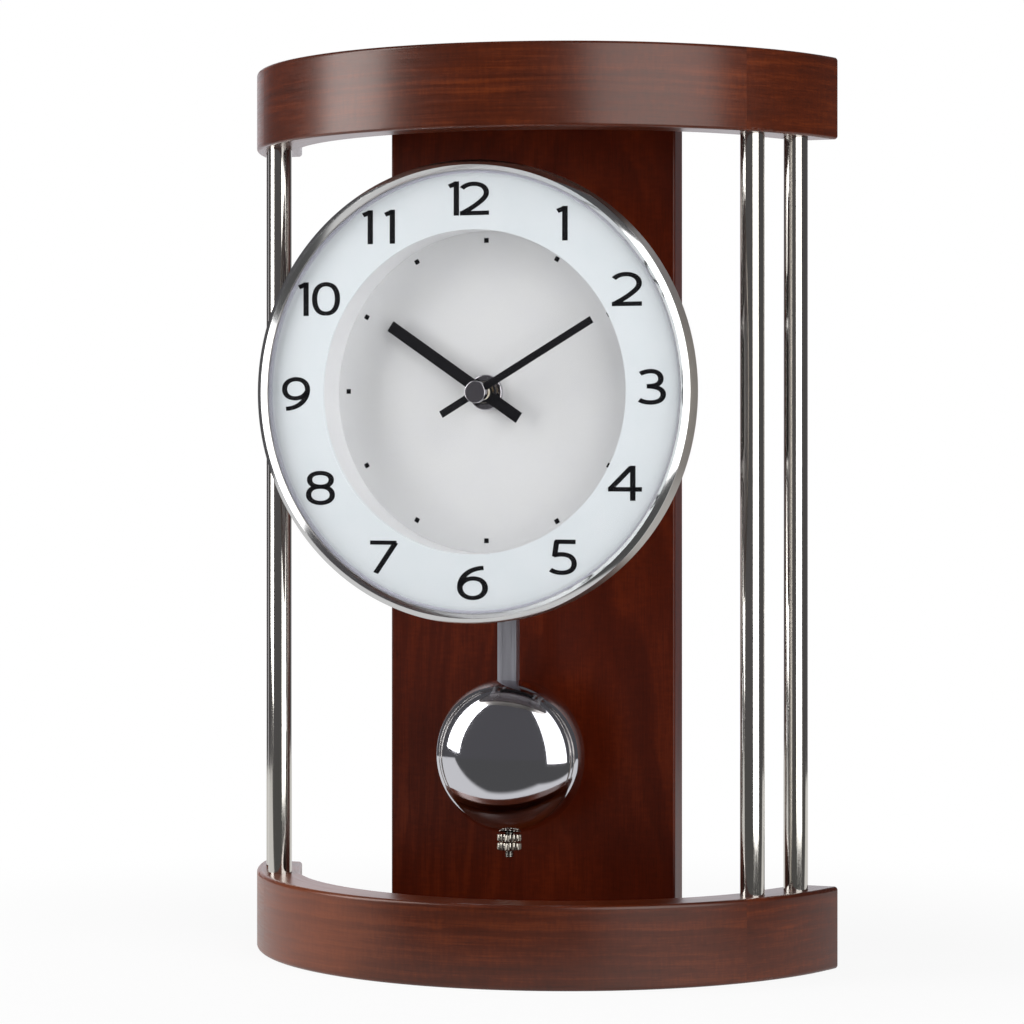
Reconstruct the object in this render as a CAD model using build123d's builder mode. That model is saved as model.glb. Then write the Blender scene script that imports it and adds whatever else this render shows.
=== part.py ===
from build123d import *
import os
from math import acos, cos, pi, radians, degrees, sin, sqrt, tan

# A desk pendulum clock: two bowed wooden rails held apart by four steel tubes, a flat wooden
# back panel, a round dial head on posts in front of it and a pendulum hanging in between.
# The clock faces -Y and +Z is up. The origin is on the table, under the middle of the clock.
# A depth is a distance in front of the panel's back.

os.makedirs("parts", exist_ok=True)

# Wooden frame
clock_height = 300.0
rail_height = 27.0
bow_radius = 106.5  # outer face of the bowed rails
bow_wall = 13.9
bow_setback = 25.8  # centre of the bows, behind the panel's back
bow_half_angle = 53.0  # from the middle of a bow to its glued end joints
end_arc_angle = 57.0  # the end blocks follow the bow inside as far as this
rail_overhang = 3.5  # rails' ends behind the panel
rail_edge_round = 1.2
end_corner_round = 1.3
board_thickness = 9.0
board_inset = 2.0  # boards and panel lie this far inside the rails' outer faces
panel_width = 102.0
panel_thickness = 8.6
panel_edge_round = 0.8
glue_gap = 0.1  # round the boards that are let into the rails

# Steel tubes between the rails
rod_diameter = 8.0
rod_wall = 1.0
rod_joint_angle = 4.3  # front tubes, behind the glued joint
rod_back_angle = 8.8  # rear tubes, in front of the rails' ends
rod_socket_depth = 16.0
rod_clearance = 0.1

# Countersunk wood screws through the panel
screw_diameter = 3.0
screw_head_diameter = 6.0
screw_head_height = 1.8
screw_length = 20.0
screw_clearance = 0.15
panel_screw_spacing = 70.0

# Service window in the panel, behind the movement
window_side_margin = 3.0  # wider than the movement on each side
window_end_margin = 5.0  # taller than the movement at each end
window_corner_round = 5.0

# Dial head
dial_top_gap = 8.8  # bezel under the top rail
dial_depth = 49.5  # printed face of the dial plate
dial_plate_thickness = 0.6
pan_floor = 1.6
well_radius = 52.4
well_wall = 1.6
well_depth = 12.8  # from the hour ring's face down to the dial plate
hour_ring_thickness = 0.6
pan_flange_thickness = 1.5
glass_thickness = 1.5
bezel_radius = 74.7
bezel_round = 1.6  # front edge
bezel_edge = 1.35  # width of the cone from the crest down to the glass
bezel_lip = 2.6  # crest in front of the glass
bezel_depth = 9.4
bezel_wall = 1.3
bezel_hem = 1.1  # rolled rear edge that holds the pan's rim
bezel_hem_thickness = 0.8
pan_rim_width = 2.4
head_clearance = 0.1
rib_count = 8
rib_thickness = 1.2
rib_reach = 14.0
rib_drop = 9.0

# Posts that carry the dial head on the panel
post_diameter = 8.0
post_spigot_diameter = 5.0
post_spigot_length = 6.8
post_boss_diameter = 11.0
post_boss_length = 8.0
post_inset = 5.8  # post centres, inside the wall of the well
post_angle = 31.0
post_clearance = 0.05

# Quartz movement
movement_width = 56.0
movement_above = 42.0
movement_below = 30.0
movement_depth = 15.5
movement_wall = 1.6
movement_corner_round = 3.0
bush_radius = 4.0
bush_reach = 1.9  # bush in front of the dial plate
ring_nut_radius = 5.8
ring_nut_thickness = 1.5
ring_nut_edge = 0.5
thread_clearance = 0.05

# Battery, a standard AA cell standing on end beside the wheels
battery_diameter = 14.5
battery_length = 49.2
battery_nub_diameter = 5.5
battery_nub_height = 1.3
battery_side_gap = 1.0
battery_floor_gap = 0.2
contact_thickness = 0.4
contact_width = 8.0
contact_gap = 1.2  # room behind each contact
partition = 1.2

# Hands and motion work
running_clearance = 0.08
fit_clearance = 0.02
end_play = 0.2
minute_shaft_radius = 1.6
hour_pipe_wall = 0.85
hour_hand_gap = 0.4  # hour collet in front of the bush
cap_glass_gap = 2.1
hand_thickness = 0.5
hour_tip_gap = 13.2  # from the hour hand's tip to the wall of the well
hour_hand_tail = 15.0
hour_hand_width = 3.8
hour_hand_angle = 303.9
minute_tip_gap = 6.8
minute_hand_tail = 14.4
minute_hand_width = 2.35
minute_hand_angle = 59.7
hour_collet_radius = 3.6
hour_collet_length = 0.6
minute_collet_radius = 2.9
minute_collet_length = 2.4
cap_radius = 3.6
cap_length = 1.8
cap_edge = 0.35
cap_floor = 0.7
gear_module = 0.35
pinion_teeth = 12
wheel_teeth = 36
hour_pinion_teeth = 10
hour_wheel_teeth = 40
gear_thickness = 1.2
pinion_length = 2.0
pressure_angle = 25.0
tooth_addendum = 0.75
tooth_dedendum = 1.1
tooth_backlash = 0.06
stud_radius = 0.75
pivot_radius = 0.9
setting_shaft_radius = 1.4
bearing_wall = 1.2
knob_radius = 6.0
knob_thickness = 2.6
knob_grips = 16
knob_grip_depth = 0.4
module_thickness = 9.0
module_gap = 3.0  # clear of the case walls and of the wheels

# Pendulum
pivot_above = 28.0  # above the hands' shaft
pendulum_gap = 0.8  # behind the movement
hanger_pin_radius = 1.2
hanger_head_radius = 2.2
hanger_head_thickness = 0.8
arm_hub_radius = 4.0
arm_thickness = 1.4
arm_width = 4.4
arm_length = 40.0
arm_side_gap = 0.35
magnet_drop = 13.0  # below the pivot
magnet_radius = 3.6
magnet_thickness = 1.2
magnet_seat_wall = 1.2
peg_radius = 1.2
channel_thickness = 0.8
channel_depth = 3.0
channel_top = 4.0  # above the peg
bob_rail_gap = 17.0  # bob above the bottom rail
bob_radius = 25.5
bob_bead = 1.1  # radius of the rolled rim
bob_bead_turn = 50.0  # how far the rim rolls in past its crest
bob_step = 0.65  # dome's edge in front of the groove beside the rim
bob_land = 0.6  # flat between the groove and the dome
bob_dome = 10.8
bob_rim_thickness = 1.2
bob_shell_thickness = 0.8
bob_back_thickness = 1.0
bob_clearance = 0.3
rod_end_drop = 6.0  # channel's lower end, below the bob's centre
stud_overlap = 14.0  # stud held in the channel
rating_stud_radius = 1.5
rating_stud_tip = 2.4  # below the lock nut
nut_radius = 4.0
nut_height = 2.6
nut_gap = 0.3
nut_notches = 20
nut_notch_depth = 0.35

# Places that follow from the sizes above
clock_depth = bow_radius - bow_setback + rail_overhang
rail_back_y = clock_depth / 2
back_y = rail_back_y - rail_overhang
bow_centre_y = back_y + bow_setback
bow_inner_radius = bow_radius - bow_wall
back_angle = degrees(acos((bow_setback - rail_overhang) / bow_radius))
inner_back_x = sqrt(bow_inner_radius**2 - (bow_setback - rail_overhang) ** 2)
rod_circle = bow_radius - bow_wall / 2
rod_angles = (bow_half_angle + rod_joint_angle, back_angle - rod_back_angle)
panel_height = clock_height - 2 * board_inset

dial_height = clock_height - rail_height - dial_top_gap - bezel_radius
pan_front = dial_depth - dial_plate_thickness
movement_front = pan_front - pan_floor
movement_rear = movement_front - movement_depth
ring_face = dial_depth + well_depth
flange_front = ring_face - hour_ring_thickness
flange_rear = flange_front - pan_flange_thickness
glass_front = ring_face + glass_thickness
bezel_front = glass_front + bezel_lip
bezel_rear = bezel_front - bezel_depth
bezel_bore = bezel_radius - bezel_wall
bezel_crest_radius = bezel_radius - bezel_round
pan_rim_rear = bezel_rear + bezel_hem_thickness
head_fit_radius = bezel_bore - head_clearance
well_outer_radius = well_radius + well_wall
post_x = (well_radius - post_inset) * cos(radians(post_angle))
post_z = (well_radius - post_inset) * sin(radians(post_angle))
post_places = [(side * post_x, level * post_z) for level in (1, -1) for side in (-1, 1)]
boss_rear = movement_front - post_boss_length

movement_height = movement_above + movement_below
movement_middle = dial_height + (movement_above - movement_below) / 2
case_floor = movement_front - movement_wall
cover_face = movement_rear + movement_wall
bush_front = dial_depth + bush_reach
hour_hand_rear = bush_front + hour_hand_gap + hour_collet_length
hour_hand_front = hour_hand_rear + hand_thickness
cap_front = ring_face - cap_glass_gap
minute_hand_front = cap_front - cap_length
minute_hand_rear = minute_hand_front - hand_thickness
hour_hand_length = well_radius - hour_tip_gap
minute_hand_length = well_radius - minute_tip_gap
hour_pipe_bore = minute_shaft_radius + running_clearance
hour_pipe_radius = hour_pipe_bore + hour_pipe_wall
gear_spacing = (pinion_teeth + wheel_teeth) * gear_module / 2
setting_x = 2 * gear_spacing
hour_module = 2 * gear_spacing / (hour_pinion_teeth + hour_wheel_teeth)
hour_wheel_tip = hour_module * (hour_wheel_teeth / 2 + tooth_addendum)
hour_wheel_rear = case_floor - end_play - gear_thickness - bearing_wall
motion_wheel_front = hour_wheel_rear - bearing_wall
motion_wheel_rear = motion_wheel_front - gear_thickness
pinion_rear = motion_wheel_front - (gear_thickness + pinion_length) / 2
cover_boss_end = pinion_rear - end_play  # free ends of the bearing bosses on the cover
battery_x = -movement_width / 2 + movement_wall + battery_side_gap + battery_diameter / 2
battery_depth = case_floor - battery_floor_gap - battery_diameter / 2
battery_bay_width = battery_diameter + 2 * battery_side_gap
battery_bay_bottom = -movement_below + movement_wall
battery_bottom = battery_bay_bottom + contact_gap + contact_thickness
battery_top = battery_bottom + battery_length + battery_nub_height
battery_bay_top = battery_top + contact_thickness + contact_gap

bob_height = rail_height + bob_rail_gap + bob_radius
channel_front = movement_rear - pendulum_gap
channel_rear = channel_front - channel_depth
channel_width = arm_width + 2 * arm_side_gap + 2 * channel_thickness
arm_front = channel_front - channel_thickness - arm_side_gap
arm_rear = arm_front - arm_thickness
pivot_height = dial_height + pivot_above
peg_height = pivot_height - arm_length
stud_depth = channel_front - channel_thickness - fit_clearance - rating_stud_radius
bob_rear = stud_depth - rating_stud_radius - bob_clearance - bob_back_thickness
bob_crest = channel_front + bob_clearance + bob_shell_thickness  # the rod passes behind the rim
bead_radius = bob_radius - bob_bead
bob_groove = bob_crest - bob_bead * (1 - cos(radians(bob_bead_turn)))
bob_groove_radius = bead_radius - bob_bead * sin(radians(bob_bead_turn))
bob_step_face = bob_groove + bob_step
bob_front = bob_step_face + bob_dome
bob_dome_radius = bob_groove_radius - bob_land
bob_wall_radius = bob_radius - bob_shell_thickness
dome_sphere = (bob_dome_radius**2 + bob_dome**2) / (2 * bob_dome)
nut_top = bob_height - bob_radius - bob_clearance
lock_nut_top = nut_top - nut_height - nut_gap
stud_bottom = lock_nut_top - nut_height - rating_stud_tip


def facing(depth, x=0.0, z=0.0):
    # Plane parallel to the panel's back that looks at the viewer, +X right and +Z up.
    return Plane(origin=(x, back_y - depth, z), x_dir=(1, 0, 0), z_dir=(0, -1, 0))


def rear_facing():
    # Plane on the panel's back that looks away from the viewer, with +Z up.
    return Plane(origin=(0, back_y, 0), x_dir=(-1, 0, 0), z_dir=(0, 1, 0))


def profile(z, turn=0.0):
    # Plane through a front-to-back axis: x is the depth and y the distance from the axis.
    normal = (cos(radians(turn)), 0, sin(radians(turn)))
    return Plane(origin=(0, back_y, z), x_dir=(0, -1, 0), z_dir=normal)


def bow_point(radius, angle):
    # Point on a circle about the bows' centre, by its angle from the middle of the front.
    return (radius * sin(radians(angle)), bow_centre_y - radius * cos(radians(angle)))


def bow_arc(radius, start, end):
    # Arc about the bows' centre between two angles from the middle of the front.
    return CenterArc((0, bow_centre_y), radius, start - 90, end - start)


def gear_outline(teeth, module, turn):
    # Involute teeth with straight root gaps; turn is the angle of the first tooth in degrees.
    pitch = teeth * module / 2
    base = pitch * cos(radians(pressure_angle))
    root = pitch - tooth_dedendum * module
    tip = pitch + tooth_addendum * module
    start = max(base, root)
    pitch_half = pi / (2 * teeth) - tooth_backlash / (2 * pitch)

    def involute(radius):
        roll = acos(min(1.0, base / radius))
        return tan(roll) - roll

    points = []
    for tooth in range(teeth):
        middle = radians(turn) + 2 * pi * tooth / teeth
        flank = []
        for radius in (start, (start + tip) / 2, tip):
            flank.append((radius, pitch_half + involute(pitch) - involute(radius)))
        if root < base:
            flank.insert(0, (root, flank[0][1]))
        sides = [(radius, middle - half) for radius, half in flank]
        sides += [(radius, middle + half) for radius, half in reversed(flank)]
        points += [(radius * cos(angle), radius * sin(angle)) for radius, angle in sides]
    return points


def notched_outline(radius, notches, depth):
    # Straight-knurled edge: a ridge and a notch in turn.
    points = []
    for step in range(2 * notches):
        reach = radius - depth * (step % 2)
        points.append((reach * cos(pi * step / notches), reach * sin(pi * step / notches)))
    return points


def save(piece, name):
    piece.part.label = name
    export_step(piece.part, f"parts/{name}.step")


dial_axis = Axis((0, back_y, dial_height), (0, 1, 0))
bob_axis = Axis((0, back_y, bob_height), (0, 1, 0))

# Bowed rails: a bow in the middle and a glued block at each end that takes two tubes
for level, rail_bottom in (("bottom", 0.0), ("top", clock_height - rail_height)):
    socket_bottom = rail_height - rod_socket_depth if level == "bottom" else rail_bottom

    with BuildPart() as bow:
        with BuildSketch(Plane.XY.offset(rail_bottom)):
            with BuildLine():
                outer = bow_arc(bow_radius, -bow_half_angle, bow_half_angle)
                inner = bow_arc(bow_inner_radius, -bow_half_angle, bow_half_angle)
                Line(outer @ 0, inner @ 0)
                Line(outer @ 1, inner @ 1)
            make_face()
        extrude(amount=rail_height)
        fillet(bow.edges().filter_by(GeomType.CIRCLE), rail_edge_round)
    save(bow, f"{level}_bow")

    with BuildPart() as end_block:
        with BuildSketch(Plane.XY.offset(rail_bottom)):
            with BuildLine():
                face = bow_arc(bow_radius, bow_half_angle, back_angle)
                inside = bow_arc(bow_inner_radius, bow_half_angle, end_arc_angle)
                Line(face @ 0, inside @ 0)
                Polyline(face @ 1, (inner_back_x, rail_back_y), inside @ 1)
            make_face()
        extrude(amount=rail_height)
        corners = end_block.edges().filter_by(Axis.Z).group_by(Axis.Y)[-1]
        fillet(corners.sort_by(Axis.X)[-1], end_corner_round)
        rims = end_block.faces().filter_by(Axis.Z).edges()
        joint = end_block.faces().filter_by(GeomType.PLANE).sort_by(Axis.Y)[0].edges()
        fillet([edge for edge in rims if edge not in joint], rail_edge_round)
        with BuildSketch(Plane.XY.offset(socket_bottom)):
            with Locations([bow_point(rod_circle, angle) for angle in rod_angles]):
                Circle(rod_diameter / 2 + rod_clearance)
        extrude(amount=rod_socket_depth, mode=Mode.SUBTRACT)
    save(end_block, f"{level}_end_right")

    with BuildPart() as mirrored_block:
        mirror(end_block.part, about=Plane.YZ)
    save(mirrored_block, f"{level}_end_left")

# Polished tubes, seated on the floors of their sockets
rod_bottom = rail_height - rod_socket_depth
rod_length = clock_height - 2 * rod_bottom
for side, side_name in ((-1, "left"), (1, "right")):
    for angle, place in zip(rod_angles, ("front", "rear")):
        rod_x, rod_y = bow_point(rod_circle, angle)
        with BuildPart() as rod:
            with BuildSketch(Plane((side * rod_x, rod_y, rod_bottom))):
                Circle(rod_diameter / 2)
                Circle(rod_diameter / 2 - rod_wall, mode=Mode.SUBTRACT)
            extrude(amount=rod_length)
        save(rod, f"rod_{side_name}_{place}")

# Boards let into the rails, notched at the back for the panel
board_screws = [(side * panel_screw_spacing / 2, 0) for side in (-1, 1)]
arc_end_x, arc_end_y = bow_point(bow_inner_radius, end_arc_angle)
board_share = (back_y - arc_end_y) / (rail_back_y - arc_end_y)
board_back_x = arc_end_x + (inner_back_x - arc_end_x) * board_share  # on the end blocks' inner faces
for name, board_bottom in (
    ("base_board", board_inset),
    ("top_board", clock_height - board_inset - board_thickness),
):
    with BuildPart() as board:
        with BuildSketch(Plane.XY.offset(board_bottom)):
            with BuildLine():
                inside = bow_arc(bow_inner_radius, -end_arc_angle, end_arc_angle)
                Polyline(inside @ 1, (board_back_x, back_y), (-board_back_x, back_y), inside @ 0)
            make_face()
            offset(amount=-glue_gap, kind=Kind.INTERSECTION)
            with Locations((0, back_y)):
                Rectangle(
                    panel_width + 2 * glue_gap,
                    2 * (panel_thickness + glue_gap),
                    mode=Mode.SUBTRACT,
                )
        extrude(amount=board_thickness)
        with BuildSketch(facing(0, z=board_bottom + board_thickness / 2)):
            with Locations(board_screws):
                Circle(screw_diameter / 2 + fit_clearance)
        extrude(amount=screw_length + end_play, mode=Mode.SUBTRACT)
    save(board, name)

# Back panel with its service window and countersunk holes
board_middle = board_inset + board_thickness / 2
panel_screw_places = [
    (x, z) for z in (board_middle, clock_height - board_middle) for x, _ in board_screws
]
post_screw_places = [(x, dial_height + z) for x, z in post_places]

with BuildPart() as panel:
    with BuildSketch(facing(0, z=clock_height / 2)):
        Rectangle(panel_width, panel_height)
    extrude(amount=panel_thickness)
    fillet(panel.edges().filter_by(Axis.Z), panel_edge_round)
    with BuildSketch(facing(0, z=movement_middle)):
        RectangleRounded(
            movement_width + 2 * window_side_margin,
            movement_height + 2 * window_end_margin,
            window_corner_round,
        )
    extrude(amount=panel_thickness, mode=Mode.SUBTRACT)
    with Locations(rear_facing()):
        with Locations(panel_screw_places + post_screw_places):
            Cylinder(
                screw_diameter / 2 + screw_clearance,
                panel_thickness,
                align=(Align.CENTER, Align.CENTER, Align.MAX),
                mode=Mode.SUBTRACT,
            )
            Cone(
                screw_diameter / 2 + screw_clearance,
                screw_head_diameter / 2 + screw_clearance,
                screw_head_height,
                align=(Align.CENTER, Align.CENTER, Align.MAX),
                mode=Mode.SUBTRACT,
            )
save(panel, "back_panel")

for name, places in (("panel_screws", panel_screw_places), ("post_screws", post_screw_places)):
    with BuildPart() as screws:
        with Locations(rear_facing()):
            with Locations(places):
                Cylinder(screw_diameter / 2, screw_length, align=(Align.CENTER, Align.CENTER, Align.MAX))
                Cone(
                    screw_diameter / 2,
                    screw_head_diameter / 2,
                    screw_head_height,
                    align=(Align.CENTER, Align.CENTER, Align.MAX),
                )
    save(screws, name)

# Posts between the panel and the bosses of the dial pan
post_names = ("upper_left", "upper_right", "lower_left", "lower_right")
for (x, z), name in zip(post_places, post_names):
    with BuildPart() as post:
        with BuildSketch(facing(panel_thickness, x, dial_height + z)):
            Circle(post_diameter / 2)
        extrude(amount=boss_rear - panel_thickness)
        with BuildSketch(facing(boss_rear, x, dial_height + z)):
            Circle(post_spigot_diameter / 2)
        extrude(amount=post_spigot_length)
        with BuildSketch(facing(panel_thickness, x, dial_height + z)):
            Circle(screw_diameter / 2 + fit_clearance)
        extrude(amount=screw_length - panel_thickness + end_play, mode=Mode.SUBTRACT)
    save(post, f"head_post_{name}")

# Dial pan: one moulding with the well, the rimmed flange under the hour ring, ribs and post bosses
with BuildPart() as pan:
    with BuildSketch(profile(dial_height)):
        Polygon(
            (movement_front, 0),
            (movement_front, well_outer_radius),
            (flange_rear, well_outer_radius),
            (flange_rear, head_fit_radius - pan_rim_width),
            (pan_rim_rear, head_fit_radius - pan_rim_width),
            (pan_rim_rear, head_fit_radius),
            (flange_front, head_fit_radius),
            (flange_front, well_radius),
            (pan_front, well_radius),
            (pan_front, 0),
            align=None,
        )
    revolve(axis=dial_axis)
    for rib in range(rib_count):
        with BuildSketch(profile(dial_height, 360 * (rib + 0.5) / rib_count)):
            Polygon(
                (flange_rear, well_radius),
                (flange_rear, well_outer_radius + rib_reach),
                (flange_rear - rib_drop, well_outer_radius),
                (flange_rear - rib_drop, well_radius + well_wall / 2),
                align=None,
            )
        extrude(amount=rib_thickness / 2, both=True)
    with BuildSketch(facing(boss_rear, z=dial_height)):
        with Locations(post_places):
            Circle(post_boss_diameter / 2)
    extrude(amount=post_boss_length)
    with BuildSketch(facing(boss_rear, z=dial_height)):
        with Locations(post_places):
            Circle(post_spigot_diameter / 2 + post_clearance)
    extrude(amount=post_spigot_length + end_play, mode=Mode.SUBTRACT)
    with BuildSketch(facing(movement_front, z=dial_height)):
        Circle(bush_radius + head_clearance)
    extrude(amount=pan_floor, mode=Mode.SUBTRACT)
save(pan, "dial_pan")

with BuildPart() as dial_plate:
    with BuildSketch(facing(pan_front, z=dial_height)):
        Circle(well_radius - fit_clearance)
        Circle(bush_radius + head_clearance, mode=Mode.SUBTRACT)
    extrude(amount=dial_plate_thickness)
save(dial_plate, "dial_plate")

with BuildPart() as hour_ring:
    with BuildSketch(facing(flange_front, z=dial_height)):
        Circle(head_fit_radius)
        Circle(well_radius, mode=Mode.SUBTRACT)
    extrude(amount=hour_ring_thickness)
save(hour_ring, "hour_ring")

with BuildPart() as glass:
    with BuildSketch(facing(ring_face, z=dial_height)):
        Circle(head_fit_radius)
    extrude(amount=glass_thickness)
save(glass, "dial_glass")

# Spun bezel: a cone down to the glass, a round front edge, a wall and a hem behind the pan's rim
with BuildPart() as bezel:
    with BuildSketch(profile(dial_height)):
        with BuildLine():
            edge = CenterArc((bezel_front - bezel_round, bezel_crest_radius), bezel_round, 0, 90)
            Polyline(
                edge @ 1,
                (bezel_rear, bezel_radius),
                (bezel_rear, bezel_bore - bezel_hem),
                (pan_rim_rear, bezel_bore - bezel_hem),
                (pan_rim_rear, bezel_bore),
                (glass_front, bezel_bore),
                (glass_front, bezel_crest_radius - bezel_edge),
                edge @ 0,
            )
        make_face()
    revolve(axis=dial_axis)
save(bezel, "bezel")

# Movement: a tray with the threaded bush on its front, closed by a cover behind
bay_middle = dial_height + (battery_bay_bottom + battery_bay_top) / 2
bay_height = battery_bay_top - battery_bay_bottom
bay_right = battery_x + battery_bay_width / 2

with BuildPart() as case:
    with BuildSketch(facing(cover_face, z=movement_middle)):
        RectangleRounded(movement_width, movement_height, movement_corner_round)
    extrude(amount=movement_front - cover_face)
    with BuildSketch(facing(cover_face, z=movement_middle)):
        RectangleRounded(
            movement_width - 2 * movement_wall,
            movement_height - 2 * movement_wall,
            movement_corner_round - movement_wall,
        )
    extrude(amount=case_floor - cover_face, mode=Mode.SUBTRACT)
    with BuildSketch(facing(cover_face)):
        with Locations((bay_right + partition / 2, bay_middle)):
            Rectangle(partition, bay_height)
        with Locations((battery_x, dial_height + battery_bay_top + partition / 2)):
            Rectangle(battery_bay_width + movement_wall, partition)
    extrude(amount=case_floor - cover_face)
    with BuildSketch(facing(movement_front, z=dial_height)):
        Circle(bush_radius)
    extrude(amount=bush_front - movement_front)
    with BuildSketch(facing(cover_boss_end, gear_spacing, dial_height)):
        Circle(stud_radius)
    extrude(amount=case_floor - cover_boss_end)
    with BuildSketch(facing(motion_wheel_front + pinion_length / 2, setting_x, dial_height)):
        Circle(stud_radius + running_clearance + bearing_wall)
    extrude(amount=case_floor - motion_wheel_front - pinion_length / 2)
    with BuildSketch(facing(motion_wheel_front + pinion_length / 2, setting_x, dial_height)):
        Circle(stud_radius + running_clearance)
    extrude(amount=case_floor - motion_wheel_front - pinion_length / 2, mode=Mode.SUBTRACT)
    with BuildSketch(facing(case_floor, z=dial_height)):
        Circle(hour_pipe_radius + running_clearance)
    extrude(amount=bush_front - case_floor, mode=Mode.SUBTRACT)
save(case, "movement_case")

with BuildPart() as cover:
    with BuildSketch(facing(movement_rear, z=movement_middle)):
        RectangleRounded(movement_width, movement_height, movement_corner_round)
    extrude(amount=movement_wall)
    with BuildSketch(facing(movement_rear, battery_x, bay_middle)):
        Rectangle(battery_bay_width, bay_height)
    extrude(amount=movement_wall, mode=Mode.SUBTRACT)
    with BuildSketch(facing(cover_face, z=dial_height)):
        Circle(pivot_radius + running_clearance + bearing_wall)
        with Locations((gear_spacing, 0)):
            Circle(stud_radius + bearing_wall)
        with Locations((setting_x, 0)):
            Circle(setting_shaft_radius + running_clearance + bearing_wall)
    extrude(amount=cover_boss_end - cover_face)
    with BuildSketch(facing(movement_rear, z=pivot_height)):
        Circle(hanger_pin_radius + bearing_wall)
    extrude(amount=2 * movement_wall)
    with BuildSketch(facing(cover_face, z=dial_height)):
        Circle(pivot_radius + running_clearance)
    extrude(amount=cover_boss_end - cover_face, mode=Mode.SUBTRACT)
    with BuildSketch(facing(movement_rear, setting_x, dial_height)):
        Circle(setting_shaft_radius + running_clearance)
    extrude(amount=cover_boss_end - movement_rear, mode=Mode.SUBTRACT)
    with BuildSketch(facing(movement_rear, z=pivot_height)):
        Circle(hanger_pin_radius + fit_clearance)
    extrude(amount=2 * movement_wall, mode=Mode.SUBTRACT)
save(cover, "movement_cover")

# Sealed block with the stepping motor, the circuit and the coil that drives the pendulum
module_left = bay_right + partition + module_gap
module_right = movement_width / 2 - movement_wall - module_gap
module_bottom = hour_wheel_tip + module_gap
module_top = movement_above - movement_wall - module_gap
with BuildPart() as quartz:
    with BuildSketch(
        facing(
            case_floor - module_thickness,
            (module_left + module_right) / 2,
            dial_height + (module_bottom + module_top) / 2,
        )
    ):
        RectangleRounded(module_right - module_left, module_top - module_bottom, movement_corner_round)
    extrude(amount=module_thickness)
save(quartz, "quartz_module")

# AA cell and its two sprung contacts
battery_plane = Plane((battery_x, back_y - battery_depth, dial_height + battery_bottom))
with BuildPart() as battery:
    with BuildSketch(battery_plane):
        Circle(battery_diameter / 2)
    extrude(amount=battery_length)
    with BuildSketch(battery_plane.offset(battery_length)):
        Circle(battery_nub_diameter / 2)
    extrude(amount=battery_nub_height)
save(battery, "battery")

leaf_rear = battery_depth - contact_width / 2
for name, leaf_bottom, foot_bottom in (
    ("contact_negative", battery_bottom - contact_thickness, battery_bay_bottom),
    ("contact_positive", battery_top, battery_top),
):
    with BuildPart() as contact:
        with BuildSketch(facing(leaf_rear, battery_x, dial_height + leaf_bottom)):
            with Locations((0, contact_thickness / 2)):
                Rectangle(contact_width, contact_thickness)
        extrude(amount=case_floor - leaf_rear)
        with BuildSketch(facing(case_floor - contact_thickness, battery_x, dial_height + foot_bottom)):
            with Locations((0, (contact_gap + contact_thickness) / 2)):
                Rectangle(contact_width, contact_gap + contact_thickness)
        extrude(amount=contact_thickness)
    save(contact, name)

# Nut on the bush that clamps the movement, the pan and the dial plate together
with BuildPart() as ring_nut:
    with BuildSketch(facing(dial_depth, z=dial_height)):
        Circle(ring_nut_radius)
        Circle(bush_radius + thread_clearance, mode=Mode.SUBTRACT)
    extrude(amount=ring_nut_thickness)
    front_edges = ring_nut.faces().sort_by(Axis.Y)[0].edges().sort_by(SortBy.RADIUS)
    fillet(front_edges[-1], ring_nut_edge)
save(ring_nut, "ring_nut")

# Motion work: the minute arbor drives the motion wheel, whose pinion drives the hour wheel
with BuildPart() as minute_arbor:
    with BuildSketch(facing(cover_face + end_play, z=dial_height)):
        Circle(pivot_radius)
    extrude(amount=pinion_rear - cover_face - end_play)
    with BuildSketch(facing(pinion_rear, z=dial_height)):
        Circle(minute_shaft_radius)
    extrude(amount=cap_front - cap_floor - fit_clearance - pinion_rear)
    with BuildSketch(facing(pinion_rear, z=dial_height)):
        with BuildLine():
            Polyline(gear_outline(pinion_teeth, gear_module, 0), close=True)
        make_face()
    extrude(amount=pinion_length)
save(minute_arbor, "minute_arbor")

with BuildPart() as motion_wheel:
    with BuildSketch(facing(motion_wheel_rear, gear_spacing, dial_height)):
        with BuildLine():
            Polyline(gear_outline(wheel_teeth, gear_module, 180 / wheel_teeth), close=True)
        make_face()
    extrude(amount=gear_thickness)
    with BuildSketch(facing(pinion_rear, gear_spacing, dial_height)):
        Circle(stud_radius + running_clearance + bearing_wall / 2)
    extrude(amount=motion_wheel_rear - pinion_rear)
    with BuildSketch(facing(motion_wheel_front, gear_spacing, dial_height)):
        with BuildLine():
            Polyline(gear_outline(hour_pinion_teeth, hour_module, 0), close=True)
        make_face()
    extrude(amount=case_floor - end_play - motion_wheel_front)
    with BuildSketch(facing(pinion_rear, gear_spacing, dial_height)):
        Circle(stud_radius + running_clearance)
    extrude(amount=case_floor - pinion_rear, mode=Mode.SUBTRACT)
save(motion_wheel, "motion_wheel")

with BuildPart() as hour_wheel:
    with BuildSketch(facing(hour_wheel_rear, z=dial_height)):
        with BuildLine():
            Polyline(gear_outline(hour_wheel_teeth, hour_module, 180 / hour_wheel_teeth), close=True)
        make_face()
    extrude(amount=gear_thickness)
    with BuildSketch(facing(hour_wheel_rear, z=dial_height)):
        Circle(hour_pipe_radius + bearing_wall)
    extrude(amount=case_floor - end_play - hour_wheel_rear)
    with BuildSketch(facing(hour_wheel_rear, z=dial_height)):
        Circle(hour_pipe_radius)
    extrude(amount=hour_hand_front - hour_wheel_rear)
    with BuildSketch(facing(hour_wheel_rear, z=dial_height)):
        Circle(hour_pipe_bore)
    extrude(amount=hour_hand_front - hour_wheel_rear, mode=Mode.SUBTRACT)
save(hour_wheel, "hour_wheel")

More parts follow.
